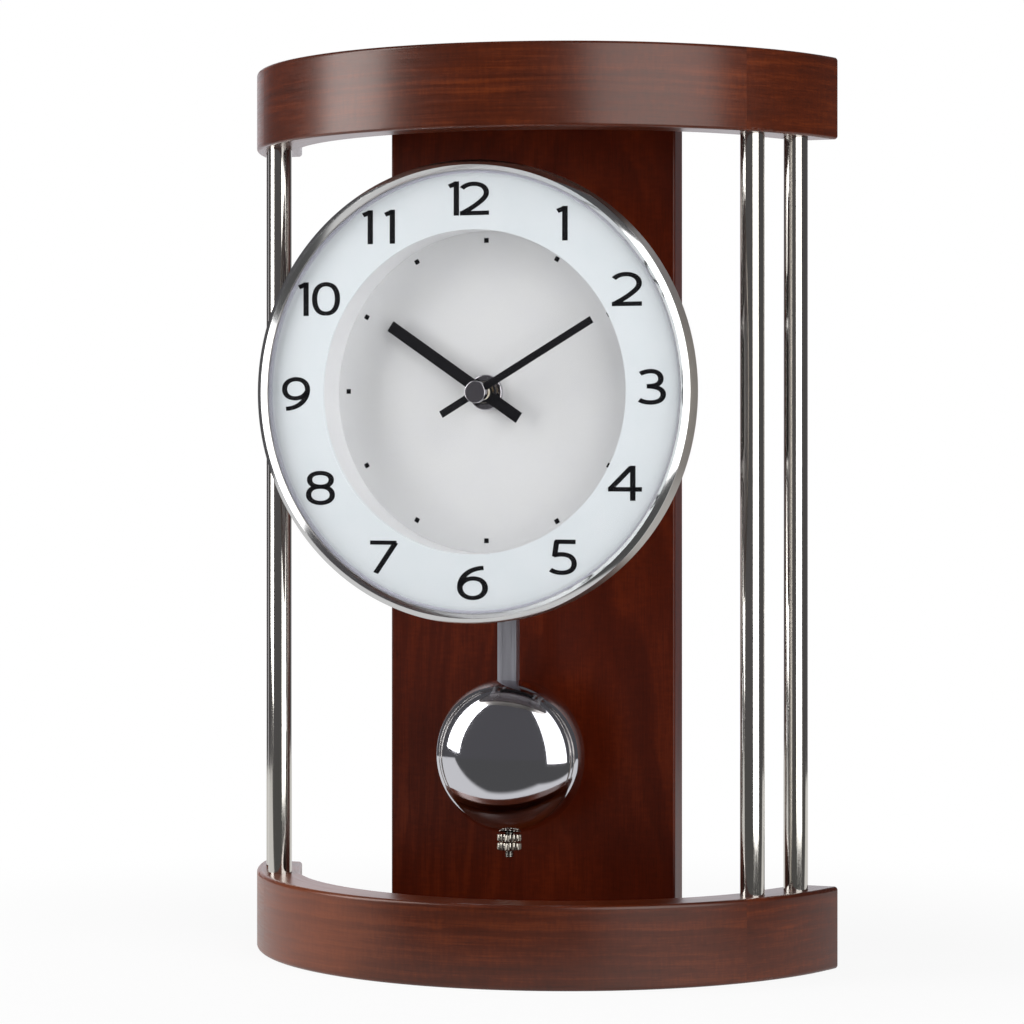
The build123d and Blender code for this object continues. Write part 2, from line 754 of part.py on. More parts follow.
# Time setting from behind: a pinion on the motion wheel and a grip on the same shaft
with BuildPart() as setting_arbor:
    with BuildSketch(facing(pinion_rear, setting_x, dial_height)):
        with BuildLine():
            Polyline(gear_outline(pinion_teeth, gear_module, 0), close=True)
        make_face()
    extrude(amount=pinion_length)
    with BuildSketch(facing(movement_rear - end_play - knob_thickness, setting_x, dial_height)):
        Circle(setting_shaft_radius)
    extrude(amount=pinion_rear + end_play + knob_thickness - movement_rear)
    with BuildSketch(facing(pinion_rear, setting_x, dial_height)):
        Circle(stud_radius)
    extrude(amount=case_floor - end_play - pinion_rear)
save(setting_arbor, "setting_arbor")

with BuildPart() as setting_knob:
    with BuildSketch(facing(movement_rear - end_play - knob_thickness, setting_x, dial_height)):
        with BuildLine():
            Polyline(notched_outline(knob_radius, knob_grips, knob_grip_depth), close=True)
        make_face()
        Circle(setting_shaft_radius + fit_clearance, mode=Mode.SUBTRACT)
    extrude(amount=knob_thickness)
save(setting_knob, "setting_knob")

# Hands: flat bars with a tail, on riveted collets, and the cap nut in front
for name, rear, length, tail, width, angle, bore in (
    ("hour_hand", hour_hand_rear, hour_hand_length, hour_hand_tail, hour_hand_width, hour_hand_angle,
     hour_pipe_radius),
    ("minute_hand", minute_hand_rear, minute_hand_length, minute_hand_tail, minute_hand_width,
     minute_hand_angle, minute_shaft_radius),
):
    with BuildPart() as hand:
        with BuildSketch(facing(rear, z=dial_height)):
            with Locations(Location((0, 0, 0), (0, 0, -angle))):
                with Locations((0, (length - tail) / 2)):
                    Rectangle(width, length + tail)
            Circle(bore + fit_clearance + bearing_wall / 2)
            Circle(bore + fit_clearance, mode=Mode.SUBTRACT)
        extrude(amount=hand_thickness)
    save(hand, name)

for name, front, length, radius, bore in (
    ("hour_collet", hour_hand_rear, hour_collet_length, hour_collet_radius, hour_pipe_radius),
    ("minute_collet", minute_hand_rear, minute_collet_length, minute_collet_radius, minute_shaft_radius),
):
    with BuildPart() as collet:
        with BuildSketch(facing(front - length, z=dial_height)):
            Circle(radius)
            Circle(bore + fit_clearance, mode=Mode.SUBTRACT)
        extrude(amount=length)
    save(collet, name)

with BuildPart() as cap:
    with BuildSketch(facing(minute_hand_front, z=dial_height)):
        Circle(cap_radius)
    extrude(amount=cap_length)
    fillet(cap.faces().sort_by(Axis.Y)[0].edges(), cap_edge)
    with BuildSketch(facing(minute_hand_front, z=dial_height)):
        Circle(minute_shaft_radius + fit_clearance)
    extrude(amount=cap_length - cap_floor, mode=Mode.SUBTRACT)
save(cap, "cap_nut")

# Pendulum hanger: a headed pin in the cover and a swinging arm with its magnet
with BuildPart() as hanger_pin:
    with BuildSketch(facing(arm_rear - end_play - hanger_head_thickness, z=pivot_height)):
        Circle(hanger_head_radius)
    extrude(amount=hanger_head_thickness)
    with BuildSketch(facing(arm_rear - end_play, z=pivot_height)):
        Circle(hanger_pin_radius)
    extrude(amount=movement_rear + 2 * movement_wall - arm_rear + end_play)
save(hanger_pin, "hanger_pin")

with BuildPart() as arm:
    with BuildSketch(facing(arm_rear, z=pivot_height)):
        Circle(arm_hub_radius)
        with Locations((0, -magnet_drop)):
            Circle(magnet_radius + magnet_seat_wall)
        with Locations((0, -arm_length / 2)):
            SlotCenterToCenter(arm_length, arm_width, rotation=90)
    extrude(amount=arm_thickness)
    with BuildSketch(facing(arm_rear, z=pivot_height)):
        Circle(arm_hub_radius)
    extrude(amount=movement_rear - end_play - arm_rear)
    with BuildSketch(facing(arm_front, z=peg_height)):
        Circle(peg_radius)
    extrude(amount=channel_front - arm_front)
    with BuildSketch(facing(arm_rear, z=pivot_height)):
        Circle(hanger_pin_radius + running_clearance)
    extrude(amount=movement_rear - arm_rear, mode=Mode.SUBTRACT)
save(arm, "swing_arm")

with BuildPart() as magnet:
    with BuildSketch(facing(arm_front, z=pivot_height - magnet_drop)):
        Circle(magnet_radius)
    extrude(amount=magnet_thickness)
save(magnet, "drive_magnet")

# Pendulum rod: a folded channel, open to the rear, hung on the arm's peg
channel_bottom = bob_height - rod_end_drop
channel_length = peg_height + channel_top - channel_bottom
with BuildPart() as channel:
    with BuildSketch(Plane((0, back_y - channel_front, channel_bottom))):
        with Locations((0, channel_depth / 2)):
            Rectangle(channel_width, channel_depth)
        with Locations((0, (channel_depth + channel_thickness) / 2)):
            Rectangle(
                channel_width - 2 * channel_thickness,
                channel_depth - channel_thickness,
                mode=Mode.SUBTRACT,
            )
    extrude(amount=channel_length)
    with BuildSketch(facing(channel_front - channel_thickness, z=peg_height)):
        Circle(peg_radius + fit_clearance)
    extrude(amount=channel_thickness, mode=Mode.SUBTRACT)
save(channel, "pendulum_rod")

stud_top = channel_bottom + stud_overlap
with BuildPart() as rating_stud:
    with BuildSketch(Plane((0, back_y - stud_depth, stud_bottom))):
        Circle(rating_stud_radius)
    extrude(amount=stud_top - stud_bottom)
    fillet(rating_stud.faces().sort_by(Axis.Z)[0].edges(), rating_stud_radius / 2)
save(rating_stud, "rating_stud")

# Bob: a pressed dome with a rolled rim, slotted above for the rod and below for the stud
inner_dome_edge = bob_dome_radius - bob_shell_thickness
inner_rim_face = bob_crest - bob_rim_thickness
sphere_centre = bob_front - dome_sphere
inner_sphere = dome_sphere - bob_shell_thickness
dome_middle = sphere_centre + sqrt(dome_sphere**2 - (bob_dome_radius / 2) ** 2)
inner_edge_face = sphere_centre + sqrt(inner_sphere**2 - inner_dome_edge**2)
inner_middle = sphere_centre + sqrt(inner_sphere**2 - (inner_dome_edge / 2) ** 2)
with BuildPart() as bob_shell:
    with BuildSketch(profile(bob_height)):
        with BuildLine():
            bead = CenterArc((bob_crest - bob_bead, bead_radius), bob_bead, 90, -90 - bob_bead_turn)
            Polyline((bob_rear, bob_wall_radius), (bob_rear, bob_radius), bead @ 0)
            Polyline(
                bead @ 1,
                (bob_step_face, bob_groove_radius),
                (bob_step_face, bob_dome_radius),
            )
            dome = ThreePointArc(
                (bob_step_face, bob_dome_radius),
                (dome_middle, bob_dome_radius / 2),
                (bob_front, 0),
            )
            Line(dome @ 1, (bob_front - bob_shell_thickness, 0))
            hollow = ThreePointArc(
                (bob_front - bob_shell_thickness, 0),
                (inner_middle, inner_dome_edge / 2),
                (inner_edge_face, inner_dome_edge),
            )
            Polyline(
                hollow @ 1,
                (inner_rim_face, inner_dome_edge),
                (inner_rim_face, bob_wall_radius),
                (bob_rear, bob_wall_radius),
            )
        make_face()
    revolve(axis=bob_axis)
    with BuildSketch(facing(bob_rear, z=bob_height + bob_radius / 2)):
        with Locations((0, bob_radius / 2)):
            Rectangle(channel_width + 2 * bob_clearance, bob_radius)
    extrude(amount=channel_front + bob_clearance - bob_rear, mode=Mode.SUBTRACT)
    with BuildSketch(facing(bob_rear, z=bob_height - bob_radius / 2)):
        with Locations((0, -bob_radius / 2)):
            Rectangle(2 * (rating_stud_radius + bob_clearance), bob_radius)
    extrude(amount=stud_depth + rating_stud_radius + bob_clearance - bob_rear, mode=Mode.SUBTRACT)
save(bob_shell, "bob_shell")

with BuildPart() as bob_back:
    with BuildSketch(facing(bob_rear, z=bob_height)):
        Circle(bob_wall_radius - head_clearance)
    extrude(amount=bob_back_thickness)
save(bob_back, "bob_back")

# Rating nut under the bob and the nut that locks it
for name, top in (("rating_nut", nut_top), ("lock_nut", lock_nut_top)):
    with BuildPart() as nut:
        with BuildSketch(Plane((0, back_y - stud_depth, top - nut_height))):
            with BuildLine():
                Polyline(notched_outline(nut_radius, nut_notches, nut_notch_depth), close=True)
            make_face()
            Circle(rating_stud_radius + thread_clearance, mode=Mode.SUBTRACT)
        extrude(amount=nut_height)
    save(nut, name)
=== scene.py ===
import math

import bpy
import numpy as np
from mathutils import Matrix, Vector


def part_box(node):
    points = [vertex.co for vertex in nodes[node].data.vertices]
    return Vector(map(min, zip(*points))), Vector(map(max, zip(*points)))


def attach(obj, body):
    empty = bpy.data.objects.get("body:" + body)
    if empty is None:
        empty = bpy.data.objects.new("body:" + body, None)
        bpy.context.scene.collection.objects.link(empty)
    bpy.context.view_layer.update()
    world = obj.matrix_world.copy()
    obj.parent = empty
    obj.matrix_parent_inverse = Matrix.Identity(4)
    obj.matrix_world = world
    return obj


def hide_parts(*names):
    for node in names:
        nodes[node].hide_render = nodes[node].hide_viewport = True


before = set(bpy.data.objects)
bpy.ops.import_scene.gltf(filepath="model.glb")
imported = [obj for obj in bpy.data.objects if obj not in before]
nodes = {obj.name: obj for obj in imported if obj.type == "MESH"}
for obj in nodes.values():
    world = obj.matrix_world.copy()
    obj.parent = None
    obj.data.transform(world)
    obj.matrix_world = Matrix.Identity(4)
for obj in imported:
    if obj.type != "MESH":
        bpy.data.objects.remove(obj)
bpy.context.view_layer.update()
scene = bpy.context.scene
scene.view_settings.view_transform = "Standard"
mm = 0.001
fullTurn = 2 * math.pi
print("frame loaded:", len(nodes), "nodes")


# Small tools

def linear(hexText):
    # sRGB hex to linear colour
    parts = [int(hexText[i:i + 2], 16) / 255 for i in (1, 3, 5)]
    return (*[p / 12.92 if p <= 0.04045 else ((p + 0.055) / 1.055) ** 2.4 for p in parts], 1.0)


def addNode(tree, kind, settings=None, inputs=None):
    # one node with its settings; an input is a value or another node's output; stops are (place, hex) pairs
    node = tree.nodes.new(kind)
    for name, value in (settings or {}).items():
        if name == "stops":
            elements = node.color_ramp.elements
            while len(elements) < len(value):
                elements.new(0.5)
            for element, (place, colour) in zip(elements, value):
                element.position = place
                element.color = linear(colour)
        else:
            setattr(node, name, value)
    for name, value in (inputs or {}).items():
        if isinstance(value, bpy.types.NodeSocket):
            tree.links.new(value, node.inputs[name])
        else:
            node.inputs[name].default_value = value
    return node


def newMaterial(name):
    # an empty material with its tree, its shader and its object coordinates
    material = bpy.data.materials.new(name)
    material.use_nodes = True
    tree = material.node_tree
    place = addNode(tree, "ShaderNodeTexCoord").outputs["Object"]
    return material, tree, tree.nodes["Principled BSDF"], place


def surfaceFinish(tree, shader, pattern, roughness, relief=None, height=None):
    # a noise's middle range gives the roughness, from low to high; relief is (strength, depth) of a height
    rough = addNode(tree, "ShaderNodeMapRange", None,
                    {"Value": pattern, "From Min": 0.3, "From Max": 0.7,
                     "To Min": roughness[0], "To Max": roughness[1]}).outputs[0]
    tree.links.new(rough, shader.inputs["Roughness"])
    if relief:
        bump = addNode(tree, "ShaderNodeBump", None,
                       {"Strength": relief[0], "Distance": relief[1], "Height": height or pattern}).outputs[0]
        tree.links.new(bump, shader.inputs["Normal"])


def fromAxis(tree, place, across, centre):
    # distance from an axis: across is 1 on the two directions that count, centre is where the axis passes
    flat = addNode(tree, "ShaderNodeVectorMath", {"operation": "MULTIPLY"}, {0: place, 1: across}).outputs[0]
    centred = addNode(tree, "ShaderNodeVectorMath", {"operation": "SUBTRACT"},
                      {0: flat, 1: centre}).outputs[0]
    return addNode(tree, "ShaderNodeVectorMath", {"operation": "LENGTH"}, {0: centred}).outputs["Value"]


def alongGrain(grain, along, across):
    # a vector with one value along the grain and another across it
    return tuple(along if axis == grain else across for axis in "xyz")


def patch(grid, wrapRows=False, caps=False):
    # quads between neighbours on a grid of points whose rows are closed; caps close the first and last row;
    # the sign of the closed volume, the sum of corner . (next x next but one), turns the faces outwards
    rows, columns = grid.shape[:2]
    index = np.arange(rows * columns).reshape(rows, columns)
    here, down = (index, np.roll(index, -1, 0)) if wrapRows else (index[:-1], index[1:])
    loops = [np.stack([here, np.roll(here, -1, 1), np.roll(down, -1, 1), down], -1).reshape(-1, 4)]
    if caps:
        loops += [index[:1, ::-1], index[-1:]]
    points = grid.reshape(-1, 3)
    centred = points - points.mean(0)
    volume = 0.0
    for loop in loops:
        volume += np.sum(centred[loop[:, :1]] * np.cross(centred[loop[:, 1:-1]], centred[loop[:, 2:]]))
    way = -1 if volume < 0 else 1
    return points, [face for loop in loops for face in loop[:, ::way].tolist()]


def makePiece(name, patches, material, body, replaced=(), sharpAngle=35.0):
    # joins patches into one piece that rides on a body and may stand for CAD nodes
    points, faces, start = [], [], 0
    for patchPoints, patchFaces in patches:
        points.append(patchPoints)
        faces += [[corner + start for corner in face] for face in patchFaces]
        start += len(patchPoints)
    mesh = bpy.data.meshes.new(name)
    mesh.from_pydata(np.concatenate(points).tolist(), [], faces)
    mesh.polygons.foreach_set("use_smooth", np.ones(len(mesh.polygons), bool))
    mesh.set_sharp_from_angle(angle=math.radians(sharpAngle))
    mesh.materials.append(material)
    piece = bpy.data.objects.new(name, mesh)
    scene.collection.objects.link(piece)
    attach(piece, body)
    if replaced:
        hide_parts(*replaced)


def roundAngles(steps):
    # evenly spaced angles round a full turn
    return np.linspace(0, fullTurn, steps, endpoint=False)


def turned(profile, centre, axis, steps):
    # surface of revolution: a (distance along the axis, radius) profile carried round the axis
    profile = np.array(profile, float)
    angle = roundAngles(steps)
    along = np.repeat(profile[:, :1], steps, 1)
    across = profile[:, 1:] * np.cos(angle)
    up = profile[:, 1:] * np.sin(angle)
    if axis == "y":  # the axis points at the viewer, along -Y
        return np.stack([centre[0] + across, centre[1] - along, centre[2] + up], -1)
    return np.stack([centre[0] + across, centre[1] + up, centre[2] + along], -1)


def arcProfile(centre, radius, first, last, steps):
    # points of a circular arc in the profile plane, from one angle to another in degrees
    angle = np.radians(np.linspace(first, last, steps))
    return np.stack([centre[0] + radius * np.cos(angle), centre[1] + radius * np.sin(angle)], 1)


def joined(*runs):
    # one profile out of runs of (distance, radius) points in millimetres
    return np.concatenate([np.atleast_2d(np.array(run, float)) for run in runs]) * mm


def uprightAxis(name):
    # a node's lowest and highest corner, and the foot of the upright axis through its middle
    low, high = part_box(name)
    return low, high, ((low.x + high.x) / 2, (low.y + high.y) / 2, low.z)


def dress(material, *names):
    # gives CAD nodes a finish
    for name in names:
        nodes[name].data.materials.clear()
        nodes[name].data.materials.append(material)


# Places read from the frame

bowLow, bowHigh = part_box("bottom_bow")
bow = {"halfAngle": math.radians(57), "seam": 0.35 * mm}
bow["radius"] = bowHigh.x / math.sin(bow["halfAngle"])
bow["centreY"] = bowLow.y + bow["radius"]
plateLow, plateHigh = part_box("dial_plate")
dialHeight = (plateLow.z + plateHigh.z) / 2
dialAxis = (0, 0, dialHeight)
plateFace = plateLow.y
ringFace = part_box("hour_ring")[0].y
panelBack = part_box("back_panel")[1].y
dialBack = (0, panelBack, dialHeight)  # where the dial's axis meets the panel's back


# Wood: stained beech under satin lacquer

beech = {
    "mottle": (34 * mm, 11 * mm, 3.0),  # stain that took unevenly: length along the grain, width, detail
    "fleck": (1.1 * mm, 4.5 * mm, 2.0),  # short figure across the grain
    "fibre": (20 * mm, 0.45 * mm, 3.0),
    "pores": (3.5 * mm, 0.3 * mm, 0.0),
    "noiseRoughness": 0.55,
    "band": 2.4 * mm,  # width of the growth bands
    "wander": 4 * mm,  # how far the mottle shifts the bands
    "squeeze": 0.16,  # bands run long with the grain
    "shares": {"mottle": 0.34, "fleck": 0.16, "bands": 0.24, "fibre": 0.26},  # in the tone
    "toneStops": (0.34, 0.5, 0.66),
    "poreShade": "#6a5a52",
    "poreDepth": 0.2,
    "poreRange": (0.62, 0.74),
    "roughness": (0.28, 0.36),
    "relief": (0.1, 0.03 * mm),
    "sheen": "#ffeee6",  # warm tint of the highlights
    "coatRoughness": 0.22,
}
rails = {
    "tones": ("#381102", "#4c1902", "#692a07"),
    "paleTones": ("#6a2f14", "#7c3b1b", "#8c4724"),  # the lower rail is lighter and more orange at its left end
    "paleStops": (0.32, 0.5, 0.68),
    "paleArc": (-55 * mm, -12 * mm),
    "paleShare": 0.7,
    "glue": "#8c4c28",
    "heart": (0.01, bow["radius"], -0.06),  # of the boards that the rails are cut from
    "gloss": (0.55, 0.16),  # specular level and weight of the coat
}
panel = {
    "tones": ("#3f0f03", "#4f1604", "#672308"),
    "heart": (0.02, 0.1, -0.1),
    "gloss": (0.3, 0.12),
}


def unrolled(tree, place):
    # a bow laid flat, as (along the arc, radially, upwards); its arc length and its angle as well
    split = addNode(tree, "ShaderNodeSeparateXYZ", None, {0: place}).outputs
    front = addNode(tree, "ShaderNodeMath", {"operation": "SUBTRACT"},
                    {0: bow["centreY"], 1: split["Y"]}).outputs[0]
    angle = addNode(tree, "ShaderNodeMath", {"operation": "ARCTAN2"}, {0: split["X"], 1: front}).outputs[0]
    arc = addNode(tree, "ShaderNodeMath", {"operation": "MULTIPLY"}, {0: angle, 1: bow["radius"]}).outputs[0]
    radial = fromAxis(tree, place, (1, 1, 0), (0, bow["centreY"], 0))
    flat = addNode(tree, "ShaderNodeCombineXYZ", None, {"X": arc, "Y": radial, "Z": split["Z"]}).outputs[0]
    return flat, arc, angle


def woodFigure(tree, place, grain, heart, seed):
    # growth bands round a distant heart with mottle, fleck and fibre as one tone; fibre and pores apart
    fromHeart = addNode(tree, "ShaderNodeVectorMath", {"operation": "SUBTRACT"},
                        {0: place, 1: heart}).outputs[0]
    fromHeart = addNode(tree, "ShaderNodeVectorMath", {"operation": "MULTIPLY"},
                        {0: fromHeart, 1: alongGrain(grain, beech["squeeze"], 1.0)}).outputs[0]
    ring = addNode(tree, "ShaderNodeVectorMath", {"operation": "LENGTH"}, {0: fromHeart}).outputs["Value"]
    place = addNode(tree, "ShaderNodeVectorMath", {"operation": "ADD"},
                    {0: place, 1: (seed, seed * 0.7, seed * 0.3)}).outputs[0]
    layers = {}
    for name in ("mottle", "fleck", "fibre", "pores"):
        length, width, detail = beech[name]
        scaled = addNode(tree, "ShaderNodeVectorMath", {"operation": "MULTIPLY"},
                         {0: place, 1: alongGrain(grain, 1 / length, 1 / width)}).outputs[0]
        layers[name] = addNode(tree, "ShaderNodeTexNoise", None,
                               {"Vector": scaled, "Scale": 1.0, "Detail": detail,
                                "Roughness": beech["noiseRoughness"]}).outputs["Fac"]
    wander = addNode(tree, "ShaderNodeMath", {"operation": "MULTIPLY_ADD"},
                     {0: layers["mottle"], 1: beech["wander"], 2: ring}).outputs[0]
    layers["bands"] = addNode(tree, "ShaderNodeTexNoise", {"noise_dimensions": "1D"},
                              {"W": wander, "Scale": 1 / beech["band"], "Detail": 2.0}).outputs["Fac"]
    tone = 0.0
    for name, share in beech["shares"].items():
        tone = addNode(tree, "ShaderNodeMath", {"operation": "MULTIPLY_ADD"},
                       {0: layers[name], 1: share, 2: tone}).outputs[0]
    return tone, layers["fibre"], layers["pores"]


def stainedBeech(name, wood, grain, heart, seed=0.0, bowed=False, seam=False, pale=False):
    # planed beech, stained dark and sprayed with satin lacquer: a soft figure, short darker pores and a
    # smooth coat that keeps broad highlights
    material, tree, shader, place = newMaterial(name)
    if bowed:
        place, arc, angle = unrolled(tree, place)
    tone, fibre, pores = woodFigure(tree, place, grain, heart, seed)
    colour = addNode(tree, "ShaderNodeValToRGB", {"stops": tuple(zip(beech["toneStops"], wood["tones"]))},
                     {"Fac": tone}).outputs["Color"]
    dark = addNode(tree, "ShaderNodeMapRange", None,
                   {"Value": pores, "From Min": beech["poreRange"][0], "From Max": beech["poreRange"][1],
                    "To Min": 0.0, "To Max": beech["poreDepth"]}).outputs[0]
    colour = addNode(tree, "ShaderNodeMix", {"data_type": "RGBA", "blend_type": "MULTIPLY"},
                     {"Factor": dark, 6: colour, 7: linear(beech["poreShade"])}).outputs[2]
    # the lower rail turns lighter and more orange towards its left end
    if pale:
        paleStops = tuple(zip(wood["paleStops"], wood["paleTones"]))
        light = addNode(tree, "ShaderNodeValToRGB", {"stops": paleStops}, {"Fac": tone}).outputs["Color"]
        share = addNode(tree, "ShaderNodeMapRange", {"interpolation_type": "SMOOTHSTEP"},
                        {"Value": arc, "From Min": wood["paleArc"][0], "From Max": wood["paleArc"][1],
                         "To Min": wood["paleShare"], "To Max": 0.0}).outputs[0]
        colour = addNode(tree, "ShaderNodeMix", {"data_type": "RGBA"},
                         {"Factor": share, 6: colour, 7: light}).outputs[2]
    if seam:  # thin glue line at the ends of the bow
        turn = addNode(tree, "ShaderNodeMath", {"operation": "ABSOLUTE"}, {0: angle}).outputs[0]
        line = addNode(tree, "ShaderNodeMath", {"operation": "GREATER_THAN"},
                       {0: turn, 1: bow["halfAngle"] - bow["seam"] / bow["radius"]}).outputs[0]
        colour = addNode(tree, "ShaderNodeMix", {"data_type": "RGBA"},
                         {"Factor": line, 6: colour, 7: linear(wood["glue"])}).outputs[2]
    tree.links.new(colour, shader.inputs["Base Color"])
    surfaceFinish(tree, shader, fibre, beech["roughness"], beech["relief"])
    specular, coat = wood["gloss"]
    shader.inputs["Specular IOR Level"].default_value = specular
    shader.inputs["Coat Weight"].default_value = coat
    shader.inputs["Specular Tint"].default_value = linear(beech["sheen"])
    shader.inputs["Coat Roughness"].default_value = beech["coatRoughness"]
    return material


dress(stainedBeech("stainedBeechBow", rails, "x", rails["heart"], bowed=True), "top_bow")
dress(stainedBeech("stainedBeechLowerBow", rails, "x", rails["heart"], 0.4, bowed=True, seam=True, pale=True),
      "bottom_bow")
for number, (name, side) in enumerate((("top_end_left", -1), ("top_end_right", 1),
                                       ("bottom_end_left", -1), ("bottom_end_right", 1))):
    endHeart = (side * 0.16, bow["radius"] - 0.01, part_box(name)[0].z - 0.004)
    dress(stainedBeech("stainedBeechEnd" + str(number), rails, "x", endHeart, 1.3 + number, bowed=True,
                       pale=name == "bottom_end_left"), name)
dress(stainedBeech("stainedBeechPanel", panel, "z", panel["heart"], 2.2), "back_panel")
dress(stainedBeech("stainedBeechBoard", rails, "x", (0.0, 0.2, -0.1), 3.1), "base_board", "top_board")
print("wood done")


# Metals

def polishedMetal(name, colour, roughness, streak, streakAxis="z", scratch=0.04, relief=None, groove=None):
    # buffed or plated metal: a mirror softened by polishing lines along one axis, 60 times as long as wide;
    # relief raises those lines, or, where groove is given, turned grooves of that width round the dial's axis
    material, tree, shader, place = newMaterial(name)
    scaled = addNode(tree, "ShaderNodeVectorMath", {"operation": "MULTIPLY"},
                     {0: place, 1: alongGrain(streakAxis, 1 / (streak * 60), 1 / streak)}).outputs[0]
    lines = addNode(tree, "ShaderNodeTexNoise", None,
                    {"Vector": scaled, "Scale": 1.0, "Detail": 2.0}).outputs["Fac"]
    height = lines
    if groove:
        height = addNode(tree, "ShaderNodeTexNoise", {"noise_dimensions": "1D"},
                         {"W": fromAxis(tree, place, (1, 0, 1), dialAxis), "Scale": 1 / groove,
                          "Detail": 1.0}).outputs["Fac"]
    surfaceFinish(tree, shader, lines, (max(0.0, roughness - scratch), roughness + scratch), relief, height)
    shader.inputs["Base Color"].default_value = linear(colour)
    shader.inputs["Metallic"].default_value = 1.0
    return material


polishedSteel = polishedMetal("polishedSteelTube", "#dad6cf", 0.09, 0.3 * mm)
bobChrome = polishedMetal("chromedBrass", "#d8d8de", 0.07, 0.4 * mm, "x", 0.02)
turnedNickel = polishedMetal("turnedNickel", "#b9b6ba", 0.14, 0.2 * mm,
                             relief=(0.25, 0.02 * mm), groove=0.14 * mm)
nickel = polishedMetal("nickelPlate", "#c9c2b6", 0.14, 0.2 * mm)
brushedAluminium = polishedMetal("brushedAluminium", "#c8c8d0", 0.4, 0.34 * mm, "z", 0.12, (0.35, 0.04 * mm))
turnedAluminium = polishedMetal("turnedAluminium", "#bdbdbf", 0.3, 0.2 * mm, "x", 0.06, (0.2, 0.02 * mm))
zincSteel = polishedMetal("zincPlatedSteel", "#b5b4b0", 0.24, 0.25 * mm)
contactSteel = polishedMetal("nickelStrip", "#c4c0b6", 0.24, 0.2 * mm)
arborBrass = polishedMetal("turnedBrass", "#c9a255", 0.2, 0.2 * mm)
dress(turnedNickel, "cap_nut", "ring_nut")
dress(nickel, "hour_collet", "minute_collet")
dress(brushedAluminium, "pendulum_rod")
dress(turnedAluminium, "head_post_upper_left", "head_post_upper_right",
      "head_post_lower_left", "head_post_lower_right")
dress(zincSteel, "hanger_pin", "bob_back")
dress(contactSteel, "contact_negative", "contact_positive")
dress(arborBrass, "minute_arbor")

# Tubes: a circle carried up the axis
for name in ("rod_left_front", "rod_left_rear", "rod_right_front", "rod_right_rear"):
    low, high, foot = uprightAxis(name)
    tubeRadius = (high.x - low.x) / 2
    tube = turned([(0, tubeRadius), (high.z - low.z, tubeRadius)], foot, "z", 96)
    label = "tube" + name[3:].title().replace("_", "")
    makePiece(label, [patch(tube, caps=True)], polishedSteel, "case", (name,))

# Bezel: a cone down to the glass, a rounded front slope, a wall and a hem, carried round the dial's axis;
# distances from the panel's back
bezel = {"glass": 63.8, "land": 64.65, "front": 66.4, "shoulder": 65.05, "rear": 57.0, "aperture": 71.45,
         "crest": 72.95, "lip": 0.12, "slope": ((0.3, 0.5), (0.72, 1.1)), "radius": 74.7, "bore": 73.4,
         "hem": (0.8, 1.1), "buffed": 1.3, "satin": 2.0}
hemFront, hemBore = bezel["rear"] + bezel["hem"][0], bezel["bore"] - bezel["hem"][1]
bezelProfile = joined(
    (bezel["glass"], bezel["aperture"]),
    (bezel["land"], bezel["aperture"]),
    (bezel["front"] - bezel["lip"], bezel["crest"] - bezel["lip"]),
    (bezel["front"], bezel["crest"]),
    [(bezel["front"] - fall, bezel["crest"] + out) for fall, out in bezel["slope"]],
    (bezel["shoulder"], bezel["radius"]),
    (bezel["rear"], bezel["radius"]),
    (bezel["rear"], hemBore),
    (hemFront, hemBore),
    (hemFront, bezel["bore"]),
    (bezel["glass"], bezel["bore"]))


def spunBezelMetal(name):
    # spun aluminium: the front edge buffed bright, the wall left satin from the chuck
    material, tree, shader, place = newMaterial(name)
    depth = addNode(tree, "ShaderNodeSeparateXYZ", None, {0: place}).outputs["Y"]
    lines = addNode(tree, "ShaderNodeTexNoise", {"noise_dimensions": "1D"},
                    {"W": depth, "Scale": 1 / (0.15 * mm), "Detail": 1.0}).outputs["Fac"]
    edge = panelBack - bezel["front"] * mm
    satin = addNode(tree, "ShaderNodeMapRange", {"interpolation_type": "SMOOTHSTEP"},
                    {"Value": depth, "From Min": edge + bezel["buffed"] * mm,
                     "From Max": edge + bezel["satin"] * mm, "To Min": 0.1, "To Max": 0.3}).outputs[0]
    rough = addNode(tree, "ShaderNodeMath", {"operation": "MULTIPLY_ADD"},
                    {0: lines, 1: 0.06, 2: satin}).outputs[0]
    tree.links.new(rough, shader.inputs["Roughness"])
    tint = addNode(tree, "ShaderNodeValToRGB", {"stops": ((0.1, "#dcdcdc"), (0.3, "#b4afa8"))},
                   {"Fac": satin}).outputs["Color"]
    tree.links.new(tint, shader.inputs["Base Color"])
    shader.inputs["Metallic"].default_value = 1.0
    return material


makePiece("spunBezel", [patch(turned(bezelProfile, dialBack, "y", 288), wrapRows=True)],
          spunBezelMetal("spunAluminium"), "case", ("bezel",), 28.0)

# Bob: a full dome carried round its axis; behind the slot's face it is open for the rod and the stud
bob = {"radius": 25.5, "widest": 28.5, "dome": 14.5, "fullness": 2.6, "shell": 0.8, "slotFace": 31.3,
       "rodSlot": 8.4, "studSlot": 4.2, "pole": 0.02, "rings": 64, "wallRings": 8, "around": 256,
       "wallSteps": 120}
bobLow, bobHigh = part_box("bob_shell")
bobRear = (panelBack - bobHigh.y) / mm
bobPlace = (0, panelBack, (bobLow.z + bobHigh.z) / 2)


def bobCurve(first, last, steps, shell):
    # distance: widest + height x sin(turn); radius: its greatest x cos(turn)^(2 / fullness), a full ellipse
    height = bob["dome"] - shell
    ends = np.arcsin(np.minimum((np.array([first, last]) - bob["widest"]) / height, 1.0))
    turn = np.linspace(*ends, steps)
    radius = (bob["radius"] - shell) * np.abs(np.cos(turn)) ** (2 / bob["fullness"])
    return np.stack([bob["widest"] + height * np.sin(turn), np.maximum(radius, bob["pole"])], 1)


